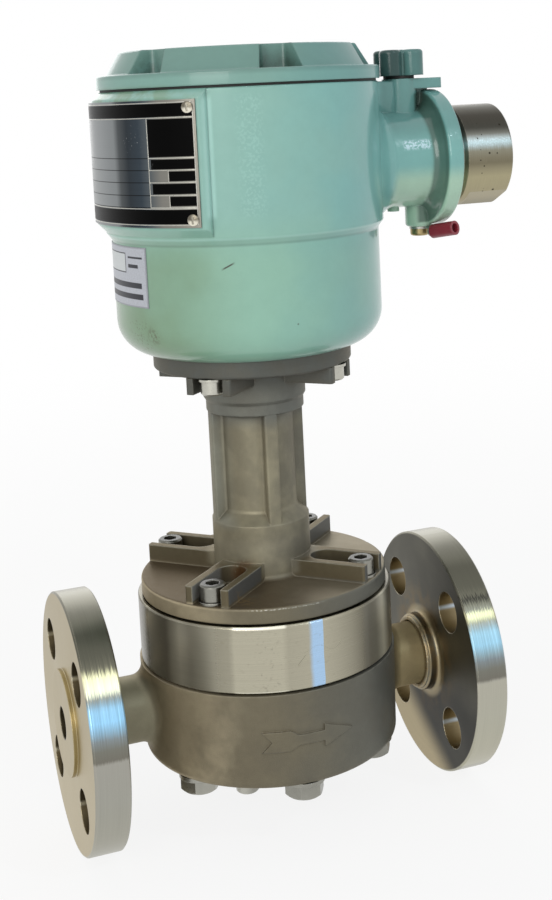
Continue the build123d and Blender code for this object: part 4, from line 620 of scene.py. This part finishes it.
def adapterFinish():
    f = Finish("platedAdapter", adapter, {"Metallic": 1})
    x, y, z = f.parts()
    low = z - conduitZ
    away = f.radius(y, low)
    theta = f.turning(-y, low)
    grain = f.noise(1, 3, f.joined(x * 3, theta * 0.04, away * 0.4))
    glint = f.band(theta + grain * 6 - 3, 10.5, 19.5, 2) * f.flecks(0.55, 3, 0.52, 0.6, shift=2)
    pits = f.step(f.cells(3.1), 0.1, 0.05) * f.flecks(7, 2, 0.5, 0.62) * 0.8
    for turn, along, size in adapter["pits"]:
        t = math.radians(turn)
        spot = (along, -adapter["roundOut"] * math.cos(t), conduitZ + adapter["roundOut"] * math.sin(t))
        pits = f.both(pits, f.blot(spot, size * 0.55, size * 0.35))
    # thread inside the bore
    inside = f.step(away, "boreOut")
    tooth = abs(f.sum("FRACT", x / adapter["threadPitch"] + theta / 360) - 0.5) * 2
    colour = f.over(
        f.ramp("round", theta + grain * 5 - 2.5), (glint * 0.35, "glint"),
        (f.step(away, "faceOut"), "face"), (pits, "pit"), (inside * 0.75, "bore"))
    colour = f.mix(f.edges(0.5) * 0.4, f.shade(colour, 0.84 + grain * 0.26), "worn")
    shallow = f.bump(grain - pits, 0.16, 0.1, f.softEdge(0.5))
    return f.wear(colour, 0.3 + grain * 0.14 + pits * 0.3, f.bump(tooth * inside, 1, 0.8, shallow))


# Engraved nameplate with blank fields, angles round the head's centre line
plate = {
    "ink": (0.0035, 0.0035, 0.0035), "line": (0.34, 0.325, 0.29), "scuff": (0.42, 0.44, 0.45),
    # angle on the plate, and the colour of the painted reflection the brushed silver shows there
    "silver": [(-212.7, (0.3, 0.31, 0.31)), (-170, (0.25, 0.265, 0.27)), (-161, (0.22, 0.235, 0.24)),
               (-158, (0.08, 0.088, 0.092)), (-153, (0.03, 0.037, 0.044)), (-147, (0.042, 0.055, 0.068)),
               (-143, (0.09, 0.105, 0.115)), (-138, (0.2, 0.195, 0.175)), (-124.3, (0.24, 0.23, 0.2))],
    # black fields: left and right end as angles, bottom and top as heights
    "fields": [(-212.7, -124.3, 185.3, 190.3), (-212.7, -124.3, 221.9, 226.4), (-142.7, -124.6, 208.3, 221.2),
               (-142, -124.6, 204.1, 207.5), (-134.8, -124.6, 200, 203.4), (-141.8, -124.6, 195.6, 199.2),
               (-135, -124.6, 191.5, 194.8)],
    # heights of the thin dark lines across the left part, half their width, and the angle where they end
    "lines": [191, 195.2, 199.6, 203.8, 207.9, 221.6], "lineHalf": 0.14, "lineEnd": (-142.5, -143),
    "wornSpot": (-46, -31, 209.5), "scuffSpot": (-48.5, -27, 214),
}


def plateFinish():
    f = Finish("engravedPlate", plate, {"Metallic": 1})
    x, y, z = f.parts()
    # count the turn from the middle of the plate, so that no seam crosses it
    middle = (plate["silver"][0][0] + plate["silver"][-1][0]) / 2
    c, s = math.cos(math.radians(middle)), math.sin(math.radians(middle))
    angle = f.turning(x * c + y * s, y * c - x * s) + middle
    brush = f.noise(1, 3, f.joined(angle * 0.05, 0, z * 9))
    silver = f.shade(f.ramp("silver", angle + brush * 1.6 - 0.8), 0.85 + brush * 0.3)
    worn = f.flecks(1.1, 4, 0.66, 0.72) * f.blot("wornSpot", 5, 3)
    scuff = f.flecks(0.8, 4, 0.66, 0.72, shift=3) * f.blot("scuffSpot", 4, 3)
    half = plate["lineHalf"]
    lines = f.both(*[f.band(z, height - half, height + half, 0.06) for height in plate["lines"]])
    ink = f.both(*[f.field(angle, z, ends, 0.12, 0.1) for ends in plate["fields"]]) * (1 - worn * 0.6)
    ink = f.both(ink, lines * f.step(angle, "lineEnd") * 0.85)
    colour = f.over(silver, (ink, "ink"), (scuff * 0.6 * (1 - ink), "scuff"), (f.edges(0.25) * 0.6, "line"))
    rough = 0.28 + brush * 0.12 + ink * 0.1
    return f.wear(colour, rough, f.bump(brush - ink * 0.6, 0.12, 0.06, f.softEdge(0.25)))


# Silver foil label with an empty frame and plain bars, as fields like those of the nameplate
label = {
    "foil": (0.46, 0.48, 0.53), "ink": (0.02, 0.022, 0.03), "paper": (0.57, 0.6, 0.61),
    "inBorder": (-199.2, -153.8, 155.1, 175.7),
    "frame": (-194, -168, 166.6, 173.8), "inFrame": (-193.5, -168.5, 167, 173.4),
    "bars": [(-196, -156, 157.4, 159.4), (-196, -156.6, 161.4, 163.4), (-166, -158.6, 168.6, 169.9),
             (-166, -155.6, 172, 172.7)],
}


def labelFinish():
    f = Finish("foilLabel", label, {"Metallic": 0.3})
    x, y, z = f.parts()
    angle = f.turning(-x, -y) - 180
    sparkle = f.noise(0.5, 3)
    inner = f.field(angle, z, "inFrame", 0.1, 0.08)
    frameLine = f.field(angle, z, "frame", 0.1, 0.08) * (1 - inner)
    ink = f.both(frameLine, *[f.field(angle, z, ends, 0.15, 0.1) for ends in label["bars"]])
    border = 1 - f.field(angle, z, "inBorder", 0.1, 0.1)
    colour = f.over(
        f.shade("foil", 0.72 + sparkle * 0.5), (inner, "paper"), (f.both(ink, border * 0.35), "ink"))
    return f.wear(colour, 0.3 + sparkle * 0.2, f.bump(sparkle, 0.1, 0.04))


# Short red vinyl sleeve on the ring terminal
sleeve = {"red": (0.235, 0.018, 0.034), "dark": (0.17, 0.012, 0.022), "worn": (0.33, 0.075, 0.085)}


def sleeveFinish():
    f = Finish("redSleeve", sleeve, {"Coat Weight": 0.15})
    mark = f.noise(1.3, 3)
    colour = f.over("red", (f.step(mark, 0.5, 0.68) * 0.35, "dark"), (f.edges(0.4) * 0.6, "worn"))
    return f.wear(colour, 0.3 + mark * 0.15, f.bump(mark, 0.15, 0.05, f.softEdge(0.4)))


# Plain metals and moulded parts: colour, how much it varies, roughness, metal or not, grain size in mm
plain = {
    "blackRubber": ((0.012, 0.012, 0.011), 0.35, 0.62, 0, 1.2),
    "gasketSheet": ((0.03, 0.028, 0.024), 0.3, 0.85, 0, 0.5),
    "rotorSteel": ((0.42, 0.42, 0.4), 0.2, 0.28, 1, 0.7),
    "carbonBush": ((0.022, 0.022, 0.023), 0.25, 0.42, 0, 0.4),
    "magnetGrey": ((0.06, 0.06, 0.064), 0.25, 0.5, 0.4, 0.5),
    "bearingBronze": ((0.36, 0.22, 0.1), 0.25, 0.36, 1, 0.8),
    "discAluminium": ((0.56, 0.57, 0.58), 0.15, 0.32, 1, 0.6),
    "screwBrass": ((0.38, 0.3, 0.15), 0.35, 0.34, 1, 0.8),
    "tinnedCopper": ((0.45, 0.44, 0.4), 0.3, 0.36, 1, 0.9),
    "blackPlastic": ((0.02, 0.02, 0.021), 0.2, 0.48, 0, 0.4),
    "postNickel": ((0.44, 0.42, 0.38), 0.2, 0.3, 1, 0.7),
    "resistorBlue": ((0.06, 0.16, 0.3), 0.3, 0.38, 0, 0.3),
    "canSleeve": ((0.035, 0.045, 0.075), 0.25, 0.32, 0, 0.5),
}


def plainFinish(name):
    colour, spread, roughness, metallic, size = plain[name]
    f = Finish(name, plain, {"Metallic": metallic})
    fine = f.noise(size, 3)
    cloud = f.noise(size * 9, 2)
    bright = tuple(min(1, 1.5 * c + 0.03) for c in colour)
    worn = f.mix(f.edges(0.3) * 0.5, colour, bright)
    tinted = f.shade(worn, 1 - spread / 2 + spread * (fine * 0.5 + cloud * 0.5))
    return f.wear(tinted, roughness - 0.06 + fine * 0.12, f.bump(fine, 0.15, 0.04, f.softEdge(0.3)))


# Circuit board: green resist with copper tracks under it
board = {"resist": (0.012, 0.095, 0.035), "track": (0.035, 0.17, 0.06), "pitch": 2.54,
         "trackEdge": (0.2, 0.16)}


def boardFinish():
    f = Finish("boardResist", board, {})
    alongX, alongY = [f.step(abs(f.sum("FRACT", way / board["pitch"]) - 0.5), "trackEdge")
                      for way in f.parts()[:2]]
    choose = f.flecks(9, 0, 0.5, 0.51)
    track = (alongX * choose + alongY * (1 - choose)) * f.step(f.cells(6.5), 0.35, 0.4)
    weave = f.noise(0.5, 2)
    colour = f.shade(f.mix(track, "resist", "track"), 0.85 + weave * 0.3)
    return f.wear(colour, 0.26 + weave * 0.12, f.bump(track * 0.6 + weave * 0.2, 0.3, 0.05))


finishes = {
    "casting": castingFinish(), "polished": polishedFinish(), "flange": flangeFinish(),
    "enamel": enamelFinish("headEnamel"),
    # the cover and the plug take darker copies of the head's enamel, painted shade
    "coverEnamel": enamelFinish("coverEnamel", dim=0.8, hollow=0.85, reach=13, coat=0.35),
    "plugEnamel": enamelFinish("plugEnamel", dim=0.42, hollow=0.85, coat=0.15, lobed=True),
    "fastener": fastenerFinish("fastenerSteel", "steel"),
    "driveScrew": fastenerFinish("driveScrewNickel", "screw", "screwLight"),
    "rule": fastenerFinish("ruleSteel", "rule"),
    "adapter": adapterFinish(), "plate": plateFinish(), "label": labelFinish(), "sleeve": sleeveFinish(),
    "board": boardFinish(), **{name: plainFinish(name) for name in plain},
}
print("finishes made:", len(finishes))

# Which solids take each finish
coats = {
    "casting": ["meter_body", "extension_casting"], "polished": ["chamber_cover"],
    "flange": ["inlet_flange", "outlet_flange"], "enamel": ["head_housing"], "coverEnamel": ["top_cover"],
    "plugEnamel": ["plug_cap"], "driveScrew": ["nameplate_screws"], "adapter": ["conduit_adapter"],
    "fastener": ["body_bolts", "body_washers", "drain_plug", "base_screws", "base_washers", "head_screws",
                 "head_washers", "board_screws", "terminal_screws"],
    "plate": ["nameplate"], "label": ["info_label"], "sleeve": ["terminal_sleeve"],
    "board": ["circuit_board"], "blackRubber": ["cover_seal", "plug_seal", "adapter_seal"],
    "gasketSheet": ["body_gasket", "extension_gasket"],
    "rotorSteel": ["rotor_a", "rotor_b", "rotor_pins", "drive_gear", "output_gear", "output_pin",
                   "drive_shaft", "sensor_bracket"],
    "carbonBush": ["rotor_bush_a", "rotor_bush_b"], "magnetGrey": ["drive_magnet", "follower_magnet"],
    "bearingBronze": ["lower_bearing", "upper_bearing"], "discAluminium": ["pulse_disc"],
    "screwBrass": ["earth_screw"], "tinnedCopper": ["ring_terminal"],
    "blackPlastic": ["sensor_head", "terminal_block"], "postNickel": ["board_posts"],
}
for finish, names in coats.items():
    for name in names:
        slots = nodes[name].data.materials
        slots.clear()
        slots.append(finishes[finish])
bare = sorted(set(nodes) - {name for names in coats.values() for name in names})
print("solids dressed, left bare:", bare)


# A geometry node tree, with a named input for each of its sizes
class Shape(Graph):
    def __init__(self, name, sizes):
        super().__init__(bpy.data.node_groups.new(name, "GeometryNodeTree"))
        face = self.tree.interface
        face.new_socket(name="Geometry", in_out="OUTPUT", socket_type="NodeSocketGeometry")
        self.keys = {}
        for label, kind in {"Geometry": "Geometry", **sizes, "Material": "Material"}.items():
            made = face.new_socket(name=label, in_out="INPUT", socket_type="NodeSocket" + kind)
            self.keys[label] = made.identifier
        self.given = self.tree.nodes.new("NodeGroupInput").outputs

    def size(self, label):
        return Value(self, self.given[label])

    # one copy of an instance on each point
    def copies(self, points, instance, turn, scale=(1, 1, 1)):
        return self.node("GeometryNodeInstanceOnPoints", None,
                         {"Points": points, "Instance": instance, "Rotation": turn, "Scale": scale})

    # instances made real, one material, and out
    def close(self, geometry):
        real = self.node("GeometryNodeRealizeInstances", None, {0: geometry})
        coated = self.node("GeometryNodeSetMaterial", None,
                           {"Geometry": real, "Material": self.size("Material")})
        self.put(self.tree.nodes.new("NodeGroupOutput").inputs[0], coated)

    # the finished plain mesh, riding on the housing
    def bake(self, name, values, slot, base=None):
        piece = addObject(name, base or bpy.data.meshes.new(name))
        maker = piece.modifiers.new("maker", "NODES")
        maker.node_group = self.tree
        for label, value in values.items():
            maker[self.keys[label]] = value
        ready = piece.evaluated_get(bpy.context.evaluated_depsgraph_get())
        mesh = bpy.data.meshes.new_from_object(ready)
        piece.modifiers.clear()
        piece.data = mesh
        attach(piece, "housing")
        print("made", name, "with", len(mesh.polygons), "faces")


# Bare points, each with its own value of one attribute
def spotMesh(name, spots, label, kind, values):
    mesh = bpy.data.meshes.new(name)
    mesh.from_pydata(spots, [], [])
    field = "vector" if kind == "FLOAT_VECTOR" else "value"
    mesh.attributes.new(label, kind, "POINT").data.foreach_set(field, values)
    return mesh


# A mesh in metres from work in millimetres, with its faces outward
def meshFrom(work, name, shift=0):
    metres = Matrix.Translation((shift, 0, 0)) @ Matrix.Scale(0.001, 4)
    bmesh.ops.transform(work, verts=work.verts[:], matrix=metres)
    bmesh.ops.recalc_face_normals(work, faces=work.faces[:])
    mesh = bpy.data.meshes.new(name)
    work.to_mesh(mesh)
    work.free()
    return mesh


# Rippled weld beads round both ends of the neck, tinted by the heat
weld = {
    "places": {"inletWeldRipples": -0.0621, "outletWeldRipples": 0.0621},
    "sizes": {"Radius": 0.0134, "Count": 92, "Bulge": 0.00116, "Length": 0.00072, "Spread": 0.12, "Seed": 4},
    "steel": (0.33, 0.3, 0.225), "straw": (0.3, 0.2, 0.085), "violet": (0.115, 0.085, 0.1),
    "dark": (0.05, 0.04, 0.028),
}


def weldFinish():
    f = Finish("weldTint", weld, {"Metallic": 1})
    _, y, z = f.parts()
    along = f.noise(3.4, 3)
    fine = f.noise(0.5, 3)
    colour = f.over(
        "steel", (f.step(along, 0.38, 0.58), "straw"), (f.step(along, 0.6, 0.74) * 0.7, "violet"),
        (f.band(f.turning(y, z), 96, 172, 14) * 0.3, "steel"))
    # crevices between the ripples darkened, a painted shade
    colour = f.mix(f.step(f.crevice(1.2), 0.4, 0.9) * 0.6, f.shade(colour, 0.82 + fine * 0.36), "dark")
    return f.wear(colour, 0.2 + fine * 0.22, f.bump(fine, 0.2, 0.05))


def makeWelds():
    shape = Shape("weldBead", {"Place": "Float", "Radius": "Float", "Count": "Int", "Bulge": "Float",
                               "Length": "Float", "Spread": "Float", "Seed": "Int"})
    circle = shape.node("GeometryNodeCurvePrimitiveCircle", {"mode": "RADIUS"},
                        {"Resolution": 96, "Radius": shape.size("Radius")})
    circle = shape.node("GeometryNodeTransform", None,
                        {"Geometry": circle, "Translation": shape.joined(shape.size("Place"), 0, 0),
                         "Rotation": (0, math.pi / 2, 0)})
    points = shape.node("GeometryNodeCurveToPoints", {"mode": "COUNT"},
                        {"Curve": circle, "Count": shape.size("Count")})
    turn = Value(shape, points.socket.node.outputs["Rotation"])
    drop = shape.node("GeometryNodeMeshIcoSphere", None, {"Radius": 1, "Subdivisions": 2})
    vary = shape.node("FunctionNodeRandomValue", {"data_type": "FLOAT"},
                      {"Min": 1 - shape.size("Spread"), "Max": 1, "Seed": shape.size("Seed")}, "Value")
    wide = shape.size("Bulge") * vary
    beads = shape.copies(points, drop, turn, shape.joined(wide, wide, shape.size("Length")))
    shape.close(shape.node("GeometryNodeSetShadeSmooth", None, {"Geometry": beads}))
    tint = weldFinish()
    for name, place in weld["places"].items():
        shape.bake(name, {"Place": centreX + place, "Material": tint, **weld["sizes"]}, "machined_steel")


makeWelds()

# Raised lines that part the fields of the nameplate, in millimetres
rules = {
    "radius": 55.62, "proud": 0.24, "width": 0.28,
    # level ones: two ends as angles, and the height
    "level": [(-143, -124.5, 191), (-143, -124.5, 195.2), (-143, -124.5, 199.6), (-143, -124.5, 203.8),
              (-143, -124.5, 207.9), (-212.2, -124.5, 190.6), (-212.2, -124.5, 221.6), (-212.2, -124.5, 185),
              (-212.2, -124.5, 226.7)],
    # upright ones: the angle, and two ends as heights
    "upright": [(-143, 191, 221.6), (-134.9, 191, 195.2), (-134.9, 199.6, 203.8), (-124.5, 185, 226.7)],
}


def makeRules():
    shape = Shape("ruledLines", {"Radius": "Float", "Proud": "Float", "Centre": "Float"})
    bar = shape.node("GeometryNodeMeshCube", None, {"Size": (1, 1, 1), "Vertices X": 25})
    sizes = shape.node("GeometryNodeInputNamedAttribute", {"data_type": "FLOAT_VECTOR"}, {"Name": "sizes"})
    bars = shape.copies(shape.size("Geometry"), bar, (0, 0, 0), sizes)
    flat = shape.node("GeometryNodeRealizeInstances", None, {0: bars})
    # x is the angle, y the height over the plate and z the height on it, wrapped round the centre line
    angle, over, height = shape.parts(shape.node("GeometryNodeInputPosition"))
    out = shape.size("Radius") + over * shape.size("Proud")
    x = shape.size("Centre") + out * shape.sum("COSINE", angle)
    wrapped = shape.joined(x, out * shape.sum("SINE", angle), height)
    shape.close(shape.node("GeometryNodeSetPosition", None, {"Geometry": flat, "Position": wrapped}))
    half = rules["width"] / 2
    turn = math.degrees(half / rules["radius"])
    ends = [(a0 - turn, a1 + turn, z - half, z + half) for a0, a1, z in rules["level"]]
    ends += [(angle - turn, angle + turn, low, high) for angle, low, high in rules["upright"]]
    spots = [(math.radians((a0 + a1) / 2), 0, (z0 + z1) / 2000) for a0, a1, z0, z1 in ends]
    spans = [(math.radians(a1 - a0), 1, (z1 - z0) / 1000) for a0, a1, z0, z1 in ends]
    base = spotMesh("ruleSpots", spots, "sizes", "FLOAT_VECTOR", [size for span in spans for size in span])
    shape.bake("plateRules", {"Radius": rules["radius"] / 1000, "Proud": rules["proud"] / 1000,
                              "Centre": centreX, "Material": finishes["rule"]}, "plate_steel", base)


makeRules()

# Small parts on the circuit board in millimetres: sizes of body and leg, how much the body's edges are
# rounded, where the legs stand, and where the parts stand with their quarter turns
boardKit = {
    "chip": {"finish": "blackPlastic", "body": (7.6, 5, 1.6), "leg": (0.45, 1, 0.9), "edge": 0.25,
             "legs": [(x, y, 0.5) for x in (-2.4, -0.8, 0.8, 2.4) for y in (-2.9, 2.9)],
             "at": [(-14, 12, 0), (4, 16, 1), (18, 10, 0), (-2, 30, 0)]},
    "resistor": {"finish": "resistorBlue", "body": (4.2, 1.7, 1.7), "leg": (1.1, 0.5, 1.1), "edge": 0.35,
                 "legs": [(-2.6, 0, 0.6), (2.6, 0, 0.6)],
                 "at": [(-33, 3, 1), (-29, 3, 1), (-25, 3, 1), (-21, 3, 1), (12, 27, 0), (12, 30, 0),
                        (26, 3, 1), (30, 3, 1), (-16, 26, 0), (-16, 29, 0), (-31, -8, 1), (31, -8, 1)]},
    "capacitor": {"finish": "canSleeve", "body": (5, 5, 6.6), "leg": (0.6, 0.6, 0.4), "edge": 0.35,
                  "legs": [(-1.2, 0, 0.2), (1.2, 0, 0.2)], "at": [(-24, 18, 0), (-10, 34, 0), (28, -3, 0)]},
}
boardTop = 181.6


# One small part with its legs, standing on its own origin, as a body mesh and a mesh of legs
def partMeshes(kind, part):
    wide, deep, tall = part["body"]
    body, legs = bmesh.new(), bmesh.new()
    if kind == "chip":
        bmesh.ops.create_cube(body, size=1.0, matrix=Matrix.Diagonal((wide, deep, tall, 1.0)))
    else:
        long, turn = (tall, 0) if kind == "capacitor" else (wide, math.pi / 2)
        bmesh.ops.create_cone(body, cap_ends=True, segments=20, radius1=deep / 2, radius2=deep / 2,
                              depth=long, matrix=Matrix.Rotation(turn, 4, "Y"))
    sharp = [e for e in body.edges if e.calc_face_angle(0) > 1]
    bmesh.ops.bevel(body, geom=sharp, offset=part["edge"], segments=2, profile=0.5, affect="EDGES")
    bmesh.ops.translate(body, verts=body.verts[:], vec=(0, 0, tall / 2 + 0.3))
    for spot in part["legs"]:
        shaped = Matrix.Translation(spot) @ Matrix.Diagonal((*part["leg"], 1))
        bmesh.ops.create_cube(legs, size=1.0, matrix=shaped)
    return meshFrom(body, kind + "Body"), meshFrom(legs, kind + "Legs")


def makeBoardParts():
    shape = Shape("boardKit", {"Part": "Object"})
    sample = shape.node("GeometryNodeObjectInfo", {"transform_space": "ORIGINAL"},
                        {"Object": shape.size("Part")}, "Geometry")
    turn = shape.node("GeometryNodeInputNamedAttribute", {"data_type": "FLOAT"}, {"Name": "turn"})
    shape.close(shape.copies(shape.size("Geometry"), sample, shape.joined(0, 0, turn)))
    for kind, part in boardKit.items():
        spots = [(centreX + x / 1000, y / 1000, boardTop / 1000) for x, y, _ in part["at"]]
        turns = [quarters * math.pi / 2 for _, _, quarters in part["at"]]
        body, legs = partMeshes(kind, part)
        for mesh, name, finish, slot in ((body, kind + "s", part["finish"], "black_plastic"),
                                         (legs, kind + "Leads", "tinnedCopper", "tinned_terminal")):
            sample = bpy.data.objects.new(name + "Sample", mesh)
            base = spotMesh(name + "Spots", spots, "turn", "FLOAT", turns)
            shape.bake(name, {"Part": sample, "Material": finishes[finish]}, slot, base)
            bpy.data.objects.remove(sample)


makeBoardParts()

# Cast blend of the side neck and the plug's boss into the head, in millimetres
neckBlend = {
    "headRadius": 51.6, "lowRadius": 49.6, "step": 179.6, "slope": 2.6, "neckRadius": 19, "flare": 8.5,
    "rounds": 72, "arc": 8, "bossX": 61.5, "webHalf": 5.4, "webRoot": 8.8,
    # heights of the web's rings, and how much narrower each is
    "web": [(206, 1), (230, 1), (230.5, 0.96875), (230.7, 0.9125)],
}


# How far out the head's wall is, with the taper under its upper part
def headWall(y, z):
    low = min(max((neckBlend["step"] - z) / neckBlend["slope"], 0), 1)
    r = neckBlend["headRadius"] + (neckBlend["lowRadius"] - neckBlend["headRadius"]) * low
    return math.sqrt(max(r * r - y * y, 1))


# Section of the blend: how far out from the neck's middle, and how far out from the wall
def blendSection(wide):
    near, arc = neckBlend["neckRadius"], neckBlend["arc"]
    section = [(near + wide * 0.8, -2.4), (near + wide + 1.6, -1.2), (near + wide + 0.9, -0.35)]
    for k in range(arc + 1):
        a = math.pi / 2 * k / arc
        section.append((near - 0.06 + wide * (1 - math.sin(a)), wide * (1 - math.cos(a)) - 0.06))
    back = near - 2.5
    return section + [(near - 0.35, wide + 1.5), (near - 1.4, wide + 1.7), (back, wide), (back, -2.2)]


# Faces between each ring of points and the next
def skin(work, rings):
    for here, there in zip(rings, rings[1:]):
        for k in range(len(here)):
            j = (k + 1) % len(here)
            work.faces.new((here[k], here[j], there[j], there[k]))


def makeNeckBlend():
    work = bmesh.new()
    loops = []
    for n in range(neckBlend["rounds"]):
        t = 2 * math.pi * n / neckBlend["rounds"]
        wide = neckBlend["flare"] * (1 - 0.35 * max(math.sin(t), 0))
        spots = [(r * math.cos(t), conduitZ + r * math.sin(t), out) for r, out in blendSection(wide)]
        loops.append([work.verts.new((headWall(y, z) + out, y, z)) for y, z, out in spots])
    skin(work, loops + loops[:1])
    # upright web between the head and the plug's boss, hollow on both sides
    half, root = neckBlend["webHalf"], neckBlend["webRoot"]
    start = math.sqrt(neckBlend["headRadius"] ** 2 - root ** 2) - 0.6
    curve = []
    for k in range(9):
        t = math.pi / 2 * k / 8
        x = start + (neckBlend["bossX"] - start) * (1 - math.cos(t))
        curve.append((x, half + (root - half) * (1 - math.sin(t))))
    plan = curve + [(x, -y) for x, y in curve[::-1]]
    rings = [[work.verts.new((x, y * narrow, z)) for x, y in plan] for z, narrow in neckBlend["web"]]
    skin(work, rings)
    work.faces.new(rings[0][::-1])
    work.faces.new(rings[-1])
    mesh = meshFrom(work, "neckBlend", centreX)
    for face in mesh.polygons:
        face.use_smooth = abs(face.normal.z) < 0.9 or face.center.z < 0.22
    mesh.materials.append(finishes["enamel"])
    piece = addObject("neckBlend", mesh)
    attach(piece, "housing")


makeNeckBlend()
print("weld ripples, plate rules, board parts and neck blend made")

# Pale floor just under the flange rims, which fades into the white background further out, in metres
floor = {"colour": (0.8, 0.8, 0.79), "side": 12, "below": 0.0002, "share": 0.86, "fade": (0.16, 1)}


# The share of rays that see the white backdrop: straight, mirrored or through glass
def backdropRays(graph):
    rays = graph.node("ShaderNodeLightPath").socket.node.outputs
    kinds = ("Is Camera Ray", "Is Glossy Ray", "Is Transmission Ray")
    return graph.both(*[Value(graph, rays[kind]) for kind in kinds])


def makeFloor():
    low, half = cadBox[0][2] - floor["below"], floor["side"] / 2
    mesh = bpy.data.meshes.new("floor")
    corners = [(-half, -half, low), (half, -half, low), (half, half, low), (-half, half, low)]
    mesh.from_pydata(corners, [], [(0, 1, 2, 3)])
    f = Finish("paleFloor", floor, {"Base Color": floor["colour"], "Roughness": 0.9, "Specular IOR Level": 0})
    x, y, _ = f.parts()
    near, far = floor["fade"]
    away = f.step(f.radius(x, y), near * 1000, far * 1000)
    white = backdropRays(f) * (floor["share"] + away * (1 - floor["share"]))
    glow = f.node("ShaderNodeEmission", None, {"Color": (1, 1, 1), "Strength": 1})
    blend = f.node("ShaderNodeMixShader", None, {0: white, 1: Value(f, f.shader.outputs[0]), 2: glow})
    f.put(f.tree.nodes["Material Output"].inputs["Surface"], blend)
    mesh.materials.append(f.material)
    piece = addObject("floor", mesh)


makeFloor()

# Soft studio light: a large panel front left, a small cool window front right, weak ones above and behind
lamps = {
    "key": {"place": (-0.8, -1.05, 0.62), "size": (0.8, 0.8), "power": 8.5, "colour": (1, 0.985, 0.95)},
    "window": {"place": (0.58, -1.02, 0.98), "size": (0.08, 0.13), "power": 2.4, "colour": (0.78, 0.91, 1)},
    "top": {"place": (0.1, 0.25, 1.5), "size": (1.2, 1.2), "power": 1.2, "colour": (1, 1, 1)},
    "back": {"place": (0.3, 1.2, 0.6), "size": (1, 1), "power": 3.5, "colour": (1, 1, 1)},
}


def makeLamps():
    aim = Vector((centreX, 0, 0.1))
    for name, lamp in lamps.items():
        data = bpy.data.lights.new(name, "AREA")
        data.shape = "RECTANGLE"
        data.size, data.size_y = lamp["size"]
        data.energy, data.color = lamp["power"], lamp["colour"]
        place = Vector(lamp["place"])
        turn = (aim - place).to_track_quat("-Z", "Y").to_matrix().to_4x4()
        addObject(name, data).matrix_world = Matrix.Translation(place) @ turn


makeLamps()

# Strength of the white surroundings: as light on the meter, and as the backdrop that is seen
studio = {"light": 0.55, "backdrop": 1}


def makeWorld():
    world = bpy.data.worlds.new("studio")
    bpy.context.scene.world = world
    world.use_nodes = True
    world.node_tree.nodes.clear()
    graph = Graph(world.node_tree)
    light, backdrop = [graph.node("ShaderNodeBackground", None, {"Color": (1, 1, 1), "Strength": strength})
                       for strength in studio.values()]
    pick = graph.node("ShaderNodeMixShader", None, {0: backdropRays(graph), 1: light, 2: backdrop})
    graph.put(graph.tree.nodes.new("ShaderNodeOutputWorld").inputs["Surface"], pick)


makeWorld()
bpy.context.scene.view_settings.view_transform = "Standard"
print("floor, lamps and background set")

bpy.context.view_layer.update()
